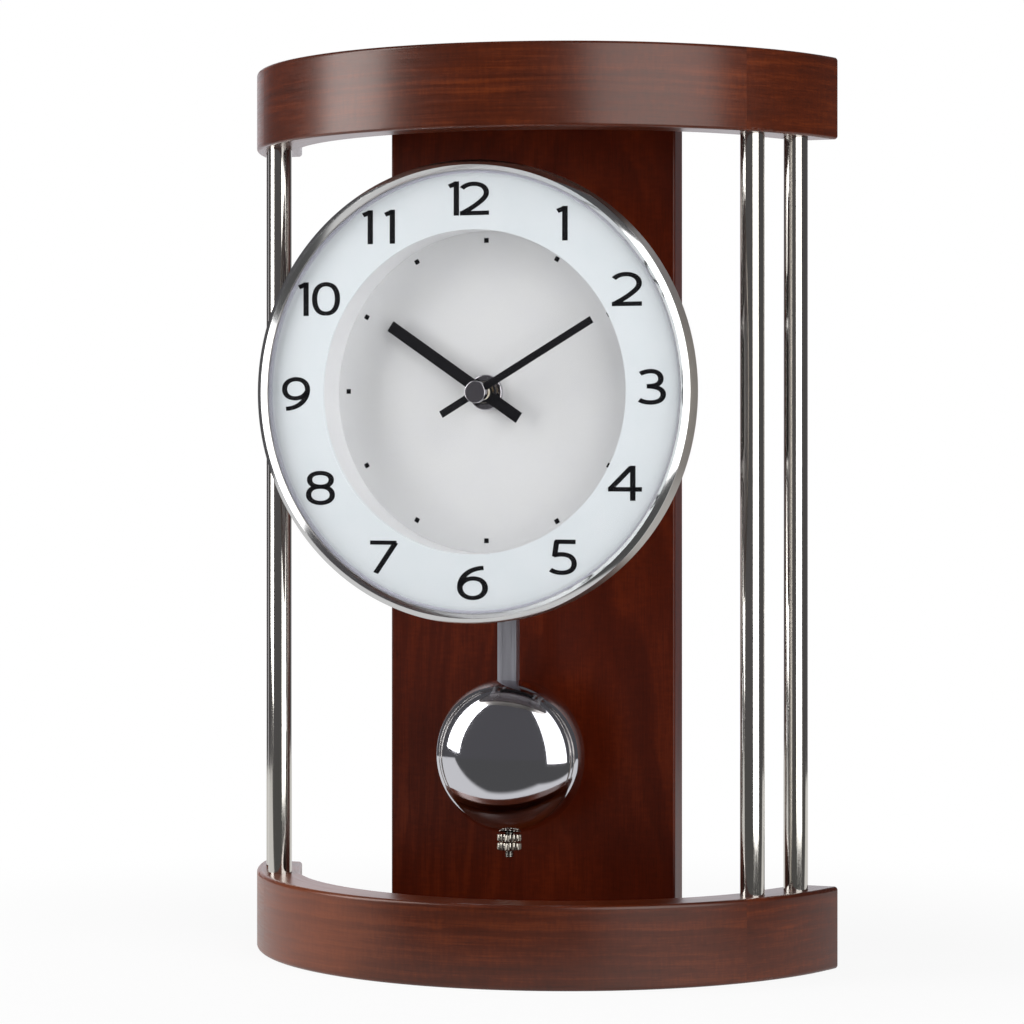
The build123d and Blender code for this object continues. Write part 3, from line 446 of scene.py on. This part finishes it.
bobFront = bob["widest"] + bob["dome"]
bobProfile = joined(bobCurve(bobFront, bob["slotFace"], bob["rings"], 0.0),
                    bobCurve(bob["slotFace"], bobFront - bob["shell"], bob["rings"], bob["shell"]))
bobPatches = [patch(turned(bobProfile, bobPlace, "y", bob["around"]), caps=True)]
wallProfile = joined((bobRear, bob["radius"] - bob["shell"]),
                     (bobRear, bob["radius"]),
                     bobCurve(bob["widest"], bob["slotFace"], bob["wallRings"], 0.0),
                     bobCurve(bob["slotFace"], bob["widest"], bob["wallRings"], bob["shell"]))
for first, last in ((-90 + bob["studSlot"], 90 - bob["rodSlot"]),
                    (90 + bob["rodSlot"], 270 - bob["studSlot"])):
    angle = np.radians(np.linspace(first, last, bob["wallSteps"]))[:, None]
    across, up = wallProfile[:, 1] * np.cos(angle), wallProfile[:, 1] * np.sin(angle)
    wall = np.stack([across, np.broadcast_to(-wallProfile[:, 0], across.shape), up], -1)
    bobPatches.append(patch(wall + np.array(bobPlace), caps=True))
makePiece("bobPressing", bobPatches, bobChrome, "bob", ("bob_shell",), 28.0)

# Rating nuts: a ring whose radius is 4 mm less 0.35 mm x half of 1 - cos(20 x angle), raised to 0.7
nut = {"radius": 4.0, "bore": 1.56, "ridges": 20, "depth": 0.35, "power": 0.7, "edge": 0.35, "bevel": 0.15,
       "steps": 240}
angle = roundAngles(nut["steps"])
rim = nut["radius"] - nut["depth"] * (0.5 - 0.5 * np.cos(nut["ridges"] * angle)) ** nut["power"]
bore = np.full(nut["steps"], nut["bore"])
bevel = np.full(nut["steps"], nut["radius"] - nut["depth"] - nut["bevel"])
radii = np.stack([bore, bevel, rim, rim, bevel, bore]) * mm
for name in ("rating_nut", "lock_nut"):
    low, high, foot = uprightAxis(name)
    rise = nut["edge"] * mm
    heights = np.array([low.z, low.z, low.z + rise, high.z - rise, high.z, high.z])
    ring = np.stack([foot[0] + radii * np.cos(angle), foot[1] + radii * np.sin(angle),
                     np.broadcast_to(heights[:, None], radii.shape)], -1)
    makePiece(name.replace("_n", "N") + "Knurled", [patch(ring, wrapRows=True)], nickel,
              "rating_nuts", (name,))

# Rating stud: the radius falls 0.28 mm into a triangular groove that winds 0.5 mm up a turn; its tip is round
stud = {"radius": 1.5, "groove": 0.28, "pitch": 0.5, "tip": 0.75, "around": 32, "up": 16}
low, high, foot = uprightAxis("rating_stud")
studLength = (high.z - low.z) / mm
height = np.linspace(0, studLength, int(studLength / stud["pitch"] * stud["up"]))[:, None]
angle = roundAngles(stud["around"])[None, :]
phase = (height / stud["pitch"] - angle / fullTurn) % 1
radii = stud["radius"] - stud["groove"] * np.abs(2 * phase - 1)
belowTip = stud["tip"] - np.minimum(height, stud["tip"])
tipRadius = stud["radius"] - stud["tip"] + np.sqrt(np.clip(stud["tip"] ** 2 - belowTip ** 2, 0.0, None))
radii = np.minimum(radii, tipRadius) * mm
thread = np.stack([foot[0] + radii * np.cos(angle), foot[1] + radii * np.sin(angle),
                   foot[2] + np.broadcast_to(height * mm, radii.shape)], -1)
makePiece("ratingThread", [patch(thread, caps=True)], zincSteel, "pendulum", ("rating_stud",))

# Countersunk screws: a flat head with a crossed recess 0.9 mm deep, arms 1 mm wide, a cone and a shank
screw = {"head": 3.0, "shank": 1.5, "cone": 1.8, "length": 20.0, "arm": 0.5, "reach": 1.75, "depth": 0.9,
         "recessWall": 0.16, "point": (0.3, 1.5), "middle": 0.12, "rings": 26, "steps": 96}


def crossScrew(centreX, centreZ):
    # polar grid: rings over the head, whose depth is the recess, then down the cone and the shank
    angle = roundAngles(screw["steps"])[None, :]
    rings = np.linspace(screw["middle"], screw["head"], screw["rings"])[:, None]
    across, up = np.abs(rings * np.cos(angle)), np.abs(rings * np.sin(angle))
    inside = np.maximum(np.minimum(screw["arm"] - up, screw["reach"] - across),
                        np.minimum(screw["arm"] - across, screw["reach"] - up))
    sunk = screw["depth"] * np.clip(inside / screw["recessWall"], 0, 1)
    pointRadius, pointLength = screw["point"]
    below = np.array([(screw["shank"], screw["cone"]),
                      (screw["shank"], screw["length"] - pointLength),
                      (pointRadius, screw["length"])])
    shape = (len(below), screw["steps"])
    radii = np.concatenate([np.broadcast_to(rings, sunk.shape), np.broadcast_to(below[:, :1], shape)])
    depth = np.concatenate([sunk, np.broadcast_to(below[:, 1:], shape)])
    grid = np.stack([centreX + radii * mm * np.cos(angle), panelBack - depth * mm,
                     centreZ + radii * mm * np.sin(angle)], -1)
    return patch(grid, caps=True)


for name, label in (("panel_screws", "panelCrossScrews"), ("post_screws", "postCrossScrews")):
    low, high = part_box(name)
    inset = screw["head"] * mm
    columns, levels = (low.x + inset, high.x - inset), (low.z + inset, high.z - inset)
    heads = [crossScrew(x, z) for x in columns for z in levels]
    makePiece(label, heads, zincSteel, "case", (name,))
print("metals done")


# Paints, plastics and glass

def mouldedSurface(name, colour, variation, roughness, grit, relief, gloss=0.5):
    # moulded plastic or sprayed paint: one colour with a faint cloud 9 mm wide and a fine grain in the gloss
    material, tree, shader, place = newMaterial(name)
    cloud = addNode(tree, "ShaderNodeTexNoise", None,
                    {"Vector": place, "Scale": 1 / (9 * mm), "Detail": 2.0}).outputs["Fac"]
    grain = addNode(tree, "ShaderNodeTexNoise", None,
                    {"Vector": place, "Scale": 1 / grit, "Detail": 1.0}).outputs["Fac"]
    tint = addNode(tree, "ShaderNodeValToRGB", {"stops": ((0.3, colour), (0.7, variation))},
                   {"Fac": cloud}).outputs["Color"]
    tree.links.new(tint, shader.inputs["Base Color"])
    surfaceFinish(tree, shader, grain, (roughness - 0.05, roughness + 0.05), (0.2, relief))
    shader.inputs["Specular IOR Level"].default_value = gloss
    return material


# moulded styrene with fine spark texture, white right through
whiteStyrene = mouldedSurface("whiteStyrene", "#dfe0e1", "#dcdddf", 0.48, 0.35 * mm, 0.02 * mm)
platePaint = mouldedSurface("whitePrintedPlate", "#dddede", "#dbdcdd", 0.5, 0.3 * mm, 0.004 * mm)
ringPaint = mouldedSurface("coolWhiteRing", "#dfe5e8", "#dce3e6", 0.45, 0.3 * mm, 0.004 * mm)
blackPaint = mouldedSurface("mattBlackPaint", "#060607", "#080809", 0.5, 0.2 * mm, 0.004 * mm, 0.1)
blackInk = mouldedSurface("blackInk", "#060606", "#080808", 0.6, 0.2 * mm, 0.002 * mm, 0.06)
sparkAbs = mouldedSurface("sparkTexturedAbs", "#1b1b1d", "#202022", 0.5, 0.35 * mm, 0.03 * mm)
whiteAcetal = mouldedSurface("whiteAcetal", "#e6e2d4", "#e1ddcf", 0.35, 0.4 * mm, 0.005 * mm)
greyAbs = mouldedSurface("greyAbs", "#8d8d90", "#88888b", 0.42, 0.4 * mm, 0.01 * mm)
ivoryAcetal = mouldedSurface("ivoryAcetal", "#dedbd0", "#d9d6cb", 0.38, 0.4 * mm, 0.005 * mm)
groundFerrite = mouldedSurface("groundFerrite", "#3a3a3c", "#333335", 0.6, 0.25 * mm, 0.01 * mm)
cellJacket = mouldedSurface("plainCellJacket", "#24463a", "#274a3e", 0.3, 0.5 * mm, 0.003 * mm)
dress(whiteStyrene, "dial_pan")
dress(platePaint, "dial_plate")
dress(ringPaint, "hour_ring")
dress(blackPaint, "hour_hand", "minute_hand")
dress(sparkAbs, "movement_case", "movement_cover", "quartz_module")
dress(whiteAcetal, "motion_wheel", "hour_wheel", "setting_arbor")
dress(greyAbs, "setting_knob")
dress(ivoryAcetal, "swing_arm")
dress(groundFerrite, "drive_magnet")

# Dry cell: a jacket with rolled shoulders, a bare can end below and a collar with a nub above
cell = {"radius": 7.25, "length": 49.2, "nub": 2.75, "nubHeight": 1.3, "nubEdge": 0.4, "shoulder": 0.8,
        "collar": 0.5, "mouth": 0.6, "canFace": 5.0, "canEdge": (0.15, 5.5), "canWall": 5.6,
        "collarFace": 5.3, "nubFoot": (0.2, 0.3), "lap": 0.1, "steps": 96}
cellFoot = uprightAxis("battery")[2]
jacketTop = cell["length"] - cell["collar"]
flatRadius = cell["radius"] - cell["shoulder"]
jacketProfile = joined(
    (cell["collar"], flatRadius - cell["mouth"]),
    arcProfile((cell["collar"] + cell["shoulder"], flatRadius), cell["shoulder"], 180, 90, 7),
    arcProfile((jacketTop - cell["shoulder"], flatRadius), cell["shoulder"], 90, 0, 7),
    (jacketTop, flatRadius - cell["mouth"]))
canEnd = joined((0, cell["canFace"]), cell["canEdge"], (cell["collar"] + cell["lap"], cell["canWall"]))
collarEnd = joined(
    (jacketTop - cell["lap"], cell["canWall"]),
    (cell["length"], cell["collarFace"]),
    (cell["length"], cell["nub"] + cell["nubFoot"][1]),
    (cell["length"] + cell["nubFoot"][0], cell["nub"]),
    arcProfile((cell["length"] + cell["nubHeight"] - cell["nubEdge"], cell["nub"] - cell["nubEdge"]),
               cell["nubEdge"], 90, 0, 5))
makePiece("cellJacket", [patch(turned(jacketProfile, cellFoot, "z", cell["steps"]), caps=True)], cellJacket,
          "case", ("battery",))
cellEnds = [patch(turned(end, cellFoot, "z", cell["steps"]), caps=True) for end in (canEnd, collarEnd)]
makePiece("cellEnds", cellEnds, contactSteel, "case")

# Dial glass: a disc with a ground bevel round its front, carried round the dial's axis
# over the bevel the glass is a third opaque, which paints a lavender band of reflection and shade round the
# dial's edge
pane = {"front": 63.8, "rear": 62.45, "flat": 70.5, "bevel": 71.9, "fall": 0.35, "radius": 73.25,
        "middle": 0.5, "veil": 0.006, "paintedBevelShadeAndReflection": 0.34, "blend": 0.1}
bevelFoot = pane["front"] - pane["fall"]
paneProfile = joined((pane["rear"], pane["middle"]), (pane["rear"], pane["radius"]),
                     (bevelFoot, pane["radius"]), (bevelFoot, pane["bevel"]),
                     (pane["front"], pane["flat"]), (pane["front"], pane["middle"]))


def floatGlass(name):
    # clear flat glass: a faint veil over the dial, and round the bevel a lavender band of painted reflection
    # and shade at the bezel's edge
    material, tree, shader, place = newMaterial(name)
    veil = addNode(tree, "ShaderNodeTexNoise", None,
                   {"Vector": place, "Scale": 1 / (25 * mm), "Detail": 1.0}).outputs["Fac"]
    surfaceFinish(tree, shader, veil, (0.02, 0.05))
    # opacity rises over the bevel, painting a lavender band of reflection and shade round the dial's edge
    alpha = addNode(tree, "ShaderNodeMapRange", None,
                    {"Value": fromAxis(tree, place, (1, 0, 1), dialAxis),
                     "From Min": (pane["flat"] - pane["blend"]) * mm,
                     "From Max": (pane["flat"] + pane["blend"]) * mm,
                     "To Min": pane["veil"], "To Max": pane["paintedBevelShadeAndReflection"]}).outputs[0]
    tree.links.new(alpha, shader.inputs["Alpha"])
    # lavender: the colour of the painted reflection and shade round the bevel, and of the faint veil
    shader.inputs["Base Color"].default_value = linear("#d4d2e2")
    return material


makePiece("dialPane", [patch(turned(paneProfile, dialBack, "y", 256), caps=True)],
          floatGlass("floatGlass"), "case", ("dial_glass",), 8.0)
print("paints, plastics and glass done")


# Printed hour numbers: pen strokes with an oval nib, in millimetres, each fitted to its width and height

numbers = {
    "nibAcross": 1.84,  # width of upright strokes
    "nibDown": 1.4,  # width of level strokes
    "print": 0.04,  # thickness of the ink
    "steps": 14,
}
figures = {  # width, height and strokes: two points, or curves of four points that share their ends
    "0": (10.0, 11.0, [[(4.85, 0.6), (7.6, 0.6), (8.9, 2.6), (8.9, 5.45), (8.9, 8.3), (7.6, 10.3),
                        (4.85, 10.3), (2.1, 10.3), (0.8, 8.3), (0.8, 5.45), (0.8, 2.6), (2.1, 0.6),
                        (4.85, 0.6)]]),
    "1": (3.9, 11.1, [[(2.75, 0.0), (2.75, 10.9)], [(0.25, 9.35), (2.9, 10.35)]]),
    "2": (10.1, 10.8, [[(0.7, 8.7), (1.7, 9.7), (3.2, 10.1), (4.7, 10.1), (7.3, 10.1), (9.1, 8.9), (9.1, 7.2),
                        (9.1, 5.9), (7.9, 5.0), (6.4, 3.9), (4.5, 2.5), (2.4, 1.5), (0.7, 0.65)],
                       [(0.0, 0.65), (10.05, 0.65)]]),
    "3": (9.4, 11.3, [[(0.7, 9.6), (1.8, 10.1), (3.0, 10.4), (4.2, 10.4), (6.4, 10.4), (7.6, 9.4), (7.6, 8.0),
                       (7.6, 6.4), (6.2, 5.7), (2.9, 5.65)],
                      [(2.9, 5.65), (6.6, 5.6), (8.4, 4.6), (8.4, 3.1), (8.4, 1.5), (6.8, 0.55), (4.2, 0.55),
                       (2.8, 0.55), (1.5, 0.8), (0.4, 1.4)]]),
    "4": (11.4, 11.1, [[(8.4, 0.0), (8.4, 10.9)], [(7.9, 10.4), (0.7, 3.6)], [(0.0, 3.55), (11.5, 3.55)]]),
    "5": (9.5, 11.3, [[(2.1, 10.3), (9.2, 10.3)], [(2.7, 10.6), (1.9, 5.6)],
                      [(1.6, 6.0), (3.0, 6.3), (3.6, 6.35), (4.3, 6.35), (7.2, 6.35), (8.7, 5.2), (8.7, 3.4),
                       (8.7, 1.6), (7.0, 0.55), (4.4, 0.55), (2.8, 0.55), (1.6, 0.85), (0.5, 1.5)]]),
    "6": (10.7, 11.1, [[(8.6, 10.35), (4.2, 10.2), (0.9, 7.6), (0.9, 4.0), (0.9, 1.9), (2.6, 0.55),
                        (5.0, 0.55), (7.5, 0.55), (9.1, 2.0), (9.1, 3.8), (9.1, 5.7), (7.6, 6.9),
                        (5.3, 6.9), (3.2, 6.9), (1.7, 5.9), (1.0, 4.6)]]),
    "7": (9.9, 10.9, [[(0.0, 10.25), (9.0, 10.25)], [(8.7, 10.3), (1.9, 0.0)]]),
    "8": (10.4, 11.2, [[(4.8, 5.9), (2.6, 5.9), (1.1, 6.7), (1.1, 8.2), (1.1, 9.6), (2.7, 10.4), (4.8, 10.4),
                        (6.9, 10.4), (8.5, 9.6), (8.5, 8.2), (8.5, 6.7), (7.0, 5.9), (4.8, 5.9),
                        (2.3, 5.9), (0.75, 4.9), (0.75, 3.2), (0.75, 1.6), (2.5, 0.55), (4.8, 0.55),
                        (7.1, 0.55), (8.85, 1.6), (8.85, 3.2), (8.85, 4.9), (7.3, 5.9), (4.8, 5.9)]]),
    "9": (10.1, 11.1, [[(1.4, 0.55), (5.8, 0.7), (9.1, 3.3), (9.1, 6.9), (9.1, 9.0), (7.4, 10.35),
                        (5.0, 10.35), (2.5, 10.35), (0.9, 8.9), (0.9, 7.1), (0.9, 5.2), (2.4, 4.0),
                        (4.7, 4.0), (6.8, 4.0), (8.3, 5.0), (9.0, 6.3)]]),
}
printed = (  # figure, its left end and its foot, from the dial's centre
    ("1", 28.9, 48.1), ("2", 47.7, 26.9), ("3", 56.4, -4.4), ("4", 46.4, -34.8), ("5", 26.4, -58.6),
    ("6", -5.2, -67.1), ("7", -35.7, -59.1), ("8", -58.6, -36.8), ("9", -67.2, -5.9),
    ("1", -61.5, 25.2), ("0", -56.4, 25.2), ("1", -38.6, 48.3), ("1", -30.8, 48.3),
    ("1", -8.4, 56.9), ("2", -4.2, 56.9))


def strokePath(controls):
    # a straight stroke, or cubic curves that share their ends, with the weights (1-t)^3, 3t(1-t)^2,
    # 3t^2(1-t) and t^3
    controls = np.array(controls, float)
    t = np.linspace(0, 1, numbers["steps"])[:, None]
    if len(controls) == 2:
        return controls
    weights = np.concatenate([(1 - t) ** 3, 3 * t * (1 - t) ** 2, 3 * t ** 2 * (1 - t), t ** 3], 1)
    curves = [weights @ controls[start:start + 4] for start in range(0, len(controls) - 1, 3)]
    return np.concatenate([curves[0]] + [curve[1:] for curve in curves[1:]])


def strokeSides(controls):
    # both edges of a stroke: the path moved sideways by half of what an oval nib is across it
    path = strokePath(controls)
    along = np.gradient(path, axis=0)
    along /= np.linalg.norm(along, axis=1, keepdims=True)
    across = np.stack([-along[:, 1], along[:, 0]], 1)
    nib = np.array([numbers["nibAcross"] / 2, numbers["nibDown"] / 2])
    reach = across * nib ** 2 / np.linalg.norm(across * nib, axis=1, keepdims=True)
    return np.stack([path + reach, path - reach])


def inkFigure(sign, left, foot):
    # ribbons along a figure's strokes, fitted to its box and raised by the ink's thickness
    width, height, strokes = figures[sign]
    edges = [strokeSides(controls) for controls in strokes]
    everything = np.concatenate([edge.reshape(-1, 2) for edge in edges])
    lowest = everything.min(0)
    scale = np.array([width, height]) / (everything.max(0) - lowest)
    ribbons = []
    for edge in edges:
        flat = (edge - lowest) * scale + np.array([left, foot])
        rows = []
        for side, raised in ((flat[0], 0.0), (flat[0], 1.0), (flat[1], 1.0), (flat[1], 0.0)):
            y = np.full(len(side), ringFace - raised * numbers["print"] * mm)
            rows.append(np.stack([side[:, 0] * mm, y, dialHeight + side[:, 1] * mm], 1))
        ribbons.append(patch(np.stack(rows, 1), caps=True))
    return ribbons


makePiece("hourNumbers", [ribbon for place in printed for ribbon in inkFigure(*place)], blackInk,
          "case")

# Hour dots: small squares turned with the hour, printed a little high
dots = {"circle": 48.9 * mm, "side": 1.55 * mm, "print": 0.04 * mm, "lift": 0.6 * mm}
squares = []
for hour in range(12):
    turn = fullTurn * hour / 12
    outward = np.array([math.sin(turn), 0, math.cos(turn)])
    sideways = np.array([math.cos(turn), 0, -math.sin(turn)])
    middle = np.array([0, plateFace, dialHeight + dots["lift"]]) + dots["circle"] * outward
    corners = np.array([middle + dots["side"] / 2 * (a * outward + b * sideways)
                        for a, b in ((1, 1), (1, -1), (-1, -1), (-1, 1))])
    squares.append(patch(np.stack([corners, corners - np.array([0, dots["print"], 0])]), caps=True))
makePiece("hourDots", squares, blackInk, "case")
print("dial print done")


# Light, floor and camera

lamps = {  # the way a lamp faces: turn 0 stands in front, 90 on the right; rise 90 looks straight down
    "softboxRight": {"place": (0.352, -0.253, 0.32), "turn": 54.8, "rise": 0, "roll": 8,
                     "size": (0.375, 0.72), "radiance": 2.7, "mirrored": True},
    "softboxLeft": {"place": (-0.373, -0.194, 0.335), "turn": -45, "rise": 0, "roll": -8,
                    "size": (0.226, 0.53), "radiance": 5.2, "mirrored": True},
    "softboxTop": {"place": (0, -0.2, 0.78), "turn": 0, "rise": 90, "roll": 0,
                   "size": (0.8, 0.4), "radiance": 0.7,
                   "mirrored": False},  # polished metal shows no lamp there
}
for name, box in lamps.items():
    lamp = bpy.data.lights.new(name, "AREA")
    lamp.shape = "RECTANGLE"
    width, height = box["size"]
    lamp.size = width
    lamp.size_y = height
    lamp.energy = box["radiance"] * math.pi * width * height
    lampItem = bpy.data.objects.new(name, lamp)
    lampItem.location = box["place"]
    facing = (Matrix.Rotation(math.radians(box["turn"]), 3, "Z")
              @ Matrix.Rotation(math.radians(90 - box["rise"]), 3, "X")
              @ Matrix.Rotation(math.radians(box["roll"]), 3, "Z"))
    lampItem.rotation_euler = facing.to_euler()
    lampItem.visible_camera = False
    lampItem.visible_glossy = box["mirrored"]
    scene.collection.objects.link(lampItem)

room = {
    "fill": 0.13,  # light on matt surfaces
    "ahead": (0.1, 0.09),  # what mirrors see in front, and at the sides and above
    "aheadRange": (-0.9, -0.2),
    "behind": 0.1,
    "behindRange": (0.8, 0.95),
    "paper": (-0.35, 0.937, 0),  # towards the white paper behind the clock
    "paperRange": (0.84, 0.94),
    "tint": "#fbf9ff",
}


def studioWorld(name):
    # white for the camera, an even fill for matt surfaces, and a dim room with white paper for mirrors
    world = bpy.data.worlds.new(name)
    world.use_nodes = True
    tree = world.node_tree
    tree.nodes.clear()
    rays = addNode(tree, "ShaderNodeLightPath").outputs
    mirrored = addNode(tree, "ShaderNodeMath", {"operation": "MAXIMUM"},
                       {0: rays["Is Glossy Ray"], 1: rays["Is Transmission Ray"]}).outputs[0]
    direction = addNode(tree, "ShaderNodeTexCoord").outputs["Generated"]
    depth = addNode(tree, "ShaderNodeSeparateXYZ", None, {0: direction}).outputs["Y"]
    towards = addNode(tree, "ShaderNodeVectorMath", {"operation": "DOT_PRODUCT"},
                      {0: direction, 1: room["paper"]}).outputs["Value"]
    seen = 0.0
    for value, (first, last), (low, high) in ((depth, room["aheadRange"], room["ahead"]),
                                              (depth, room["behindRange"], (0.0, room["behind"])),
                                              (towards, room["paperRange"], (0.0, 1.0))):
        part = addNode(tree, "ShaderNodeMapRange", {"interpolation_type": "SMOOTHSTEP"},
                       {"Value": value, "From Min": first, "From Max": last,
                        "To Min": low, "To Max": high}).outputs[0]
        seen = addNode(tree, "ShaderNodeMath", {"operation": "ADD"}, {0: part, 1: seen}).outputs[0]
    level = addNode(tree, "ShaderNodeMix", {"data_type": "FLOAT"},
                    {"Factor": mirrored, 2: room["fill"], 3: seen}).outputs[0]
    level = addNode(tree, "ShaderNodeMix", {"data_type": "FLOAT"},
                    {"Factor": rays["Is Camera Ray"], 2: level, 3: 1.0}).outputs[0]
    tint = addNode(tree, "ShaderNodeMix", {"data_type": "RGBA"},
                   {"Factor": rays["Is Camera Ray"], 6: linear(room["tint"]),
                    7: linear("#ffffff")}).outputs[2]
    back = addNode(tree, "ShaderNodeBackground", None, {"Color": tint, "Strength": level}).outputs[0]
    addNode(tree, "ShaderNodeOutputWorld", None, {"Surface": back})
    return world


scene.world = studioWorld("studio")

ground = {"reach": 0.75, "nearFade": 0.13, "farFade": 0.36, "nearShare": 0.9, "edge": 96}
sheet = {"front": -0.105, "bend": 0.06, "left": 0.45, "right": 0.8, "soft": 0.014,
         "dark": 0.09, "bright": 0.75}


def paleFloor(name):
    # matt white sweep that turns into plain white away from the clock; mirrors see a white sheet under and
    # behind the clock and dark in front of it, where the room begins
    material, tree, shader, place = newMaterial(name)
    shader.inputs["Base Color"].default_value = linear("#f4f4f4")
    shader.inputs["Roughness"].default_value = 0.9
    split = addNode(tree, "ShaderNodeSeparateXYZ", None, {0: place}).outputs
    away = addNode(tree, "ShaderNodeVectorMath", {"operation": "LENGTH"}, {0: place}).outputs["Value"]
    fade = addNode(tree, "ShaderNodeMapRange", {"interpolation_type": "SMOOTHSTEP"},
                   {"Value": away, "From Min": ground["nearFade"], "From Max": ground["farFade"],
                    "To Min": ground["nearShare"], "To Max": 1.0}).outputs[0]
    rays = addNode(tree, "ShaderNodeLightPath").outputs
    mirrored = addNode(tree, "ShaderNodeMath", {"operation": "MAXIMUM"},
                       {0: rays["Is Glossy Ray"], 1: rays["Is Transmission Ray"]}).outputs[0]
    edge = split["Y"]  # from the sheet's front edge, which bends back on the right and forward on the left
    for operation, bend, slope in (("MINIMUM", -sheet["bend"], sheet["left"]),
                                   ("MAXIMUM", sheet["bend"], sheet["right"])):
        past = addNode(tree, "ShaderNodeMath", {"operation": operation}, {0: split["X"], 1: bend}).outputs[0]
        edge = addNode(tree, "ShaderNodeMath", {"operation": "MULTIPLY_ADD"},
                       {0: past, 1: -slope, 2: edge}).outputs[0]
    start = sheet["front"] + sheet["bend"] * (sheet["left"] - sheet["right"])
    lit = addNode(tree, "ShaderNodeMapRange", {"interpolation_type": "SMOOTHSTEP"},
                  {"Value": edge, "From Min": start - sheet["soft"], "From Max": start + sheet["soft"],
                   "To Min": sheet["dark"], "To Max": sheet["bright"]}).outputs[0]
    strength = addNode(tree, "ShaderNodeMix", {"data_type": "FLOAT"},
                       {"Factor": rays["Is Camera Ray"], 2: lit, 3: 1.0}).outputs[0]
    cameraShare = addNode(tree, "ShaderNodeMath", {"operation": "MULTIPLY"},
                          {0: rays["Is Camera Ray"], 1: fade}).outputs[0]
    share = addNode(tree, "ShaderNodeMath", {"operation": "MAXIMUM"},
                    {0: cameraShare, 1: mirrored}).outputs[0]
    white = addNode(tree, "ShaderNodeEmission", None,
                    {"Color": (1, 1, 1, 1), "Strength": strength}).outputs[0]
    mixed = addNode(tree, "ShaderNodeMixShader", None,
                    {0: share, 1: shader.outputs[0], 2: white}).outputs[0]
    tree.links.new(mixed, tree.nodes["Material Output"].inputs["Surface"])
    return material


floorMesh = bpy.data.meshes.new("floor")
angle = roundAngles(ground["edge"])
rim = np.stack([np.cos(angle), np.sin(angle), 0 * angle], 1) * ground["reach"]
floorMesh.from_pydata(rim.tolist(), [], [list(range(ground["edge"]))])
floorMesh.materials.append(paleFloor("paleFloor"))
floor = bpy.data.objects.new("floor", floorMesh)
scene.collection.objects.link(floor)

view = {"place": (0.4066, -1.05075, 0.1719), "turn": 20.468, "lens": 120.52, "sensor": 36,
        "shift": (-0.0270, -0.0640)}
camera = bpy.data.cameras.new("camera")
camera.sensor_width = view["sensor"]
camera.lens = view["lens"]
camera.shift_x, camera.shift_y = view["shift"]
cameraItem = bpy.data.objects.new("camera", camera)
cameraItem.location = view["place"]
cameraItem.rotation_euler = (math.radians(90), 0, math.radians(view["turn"]))
scene.collection.objects.link(cameraItem)
scene.camera = cameraItem
print("studio done")
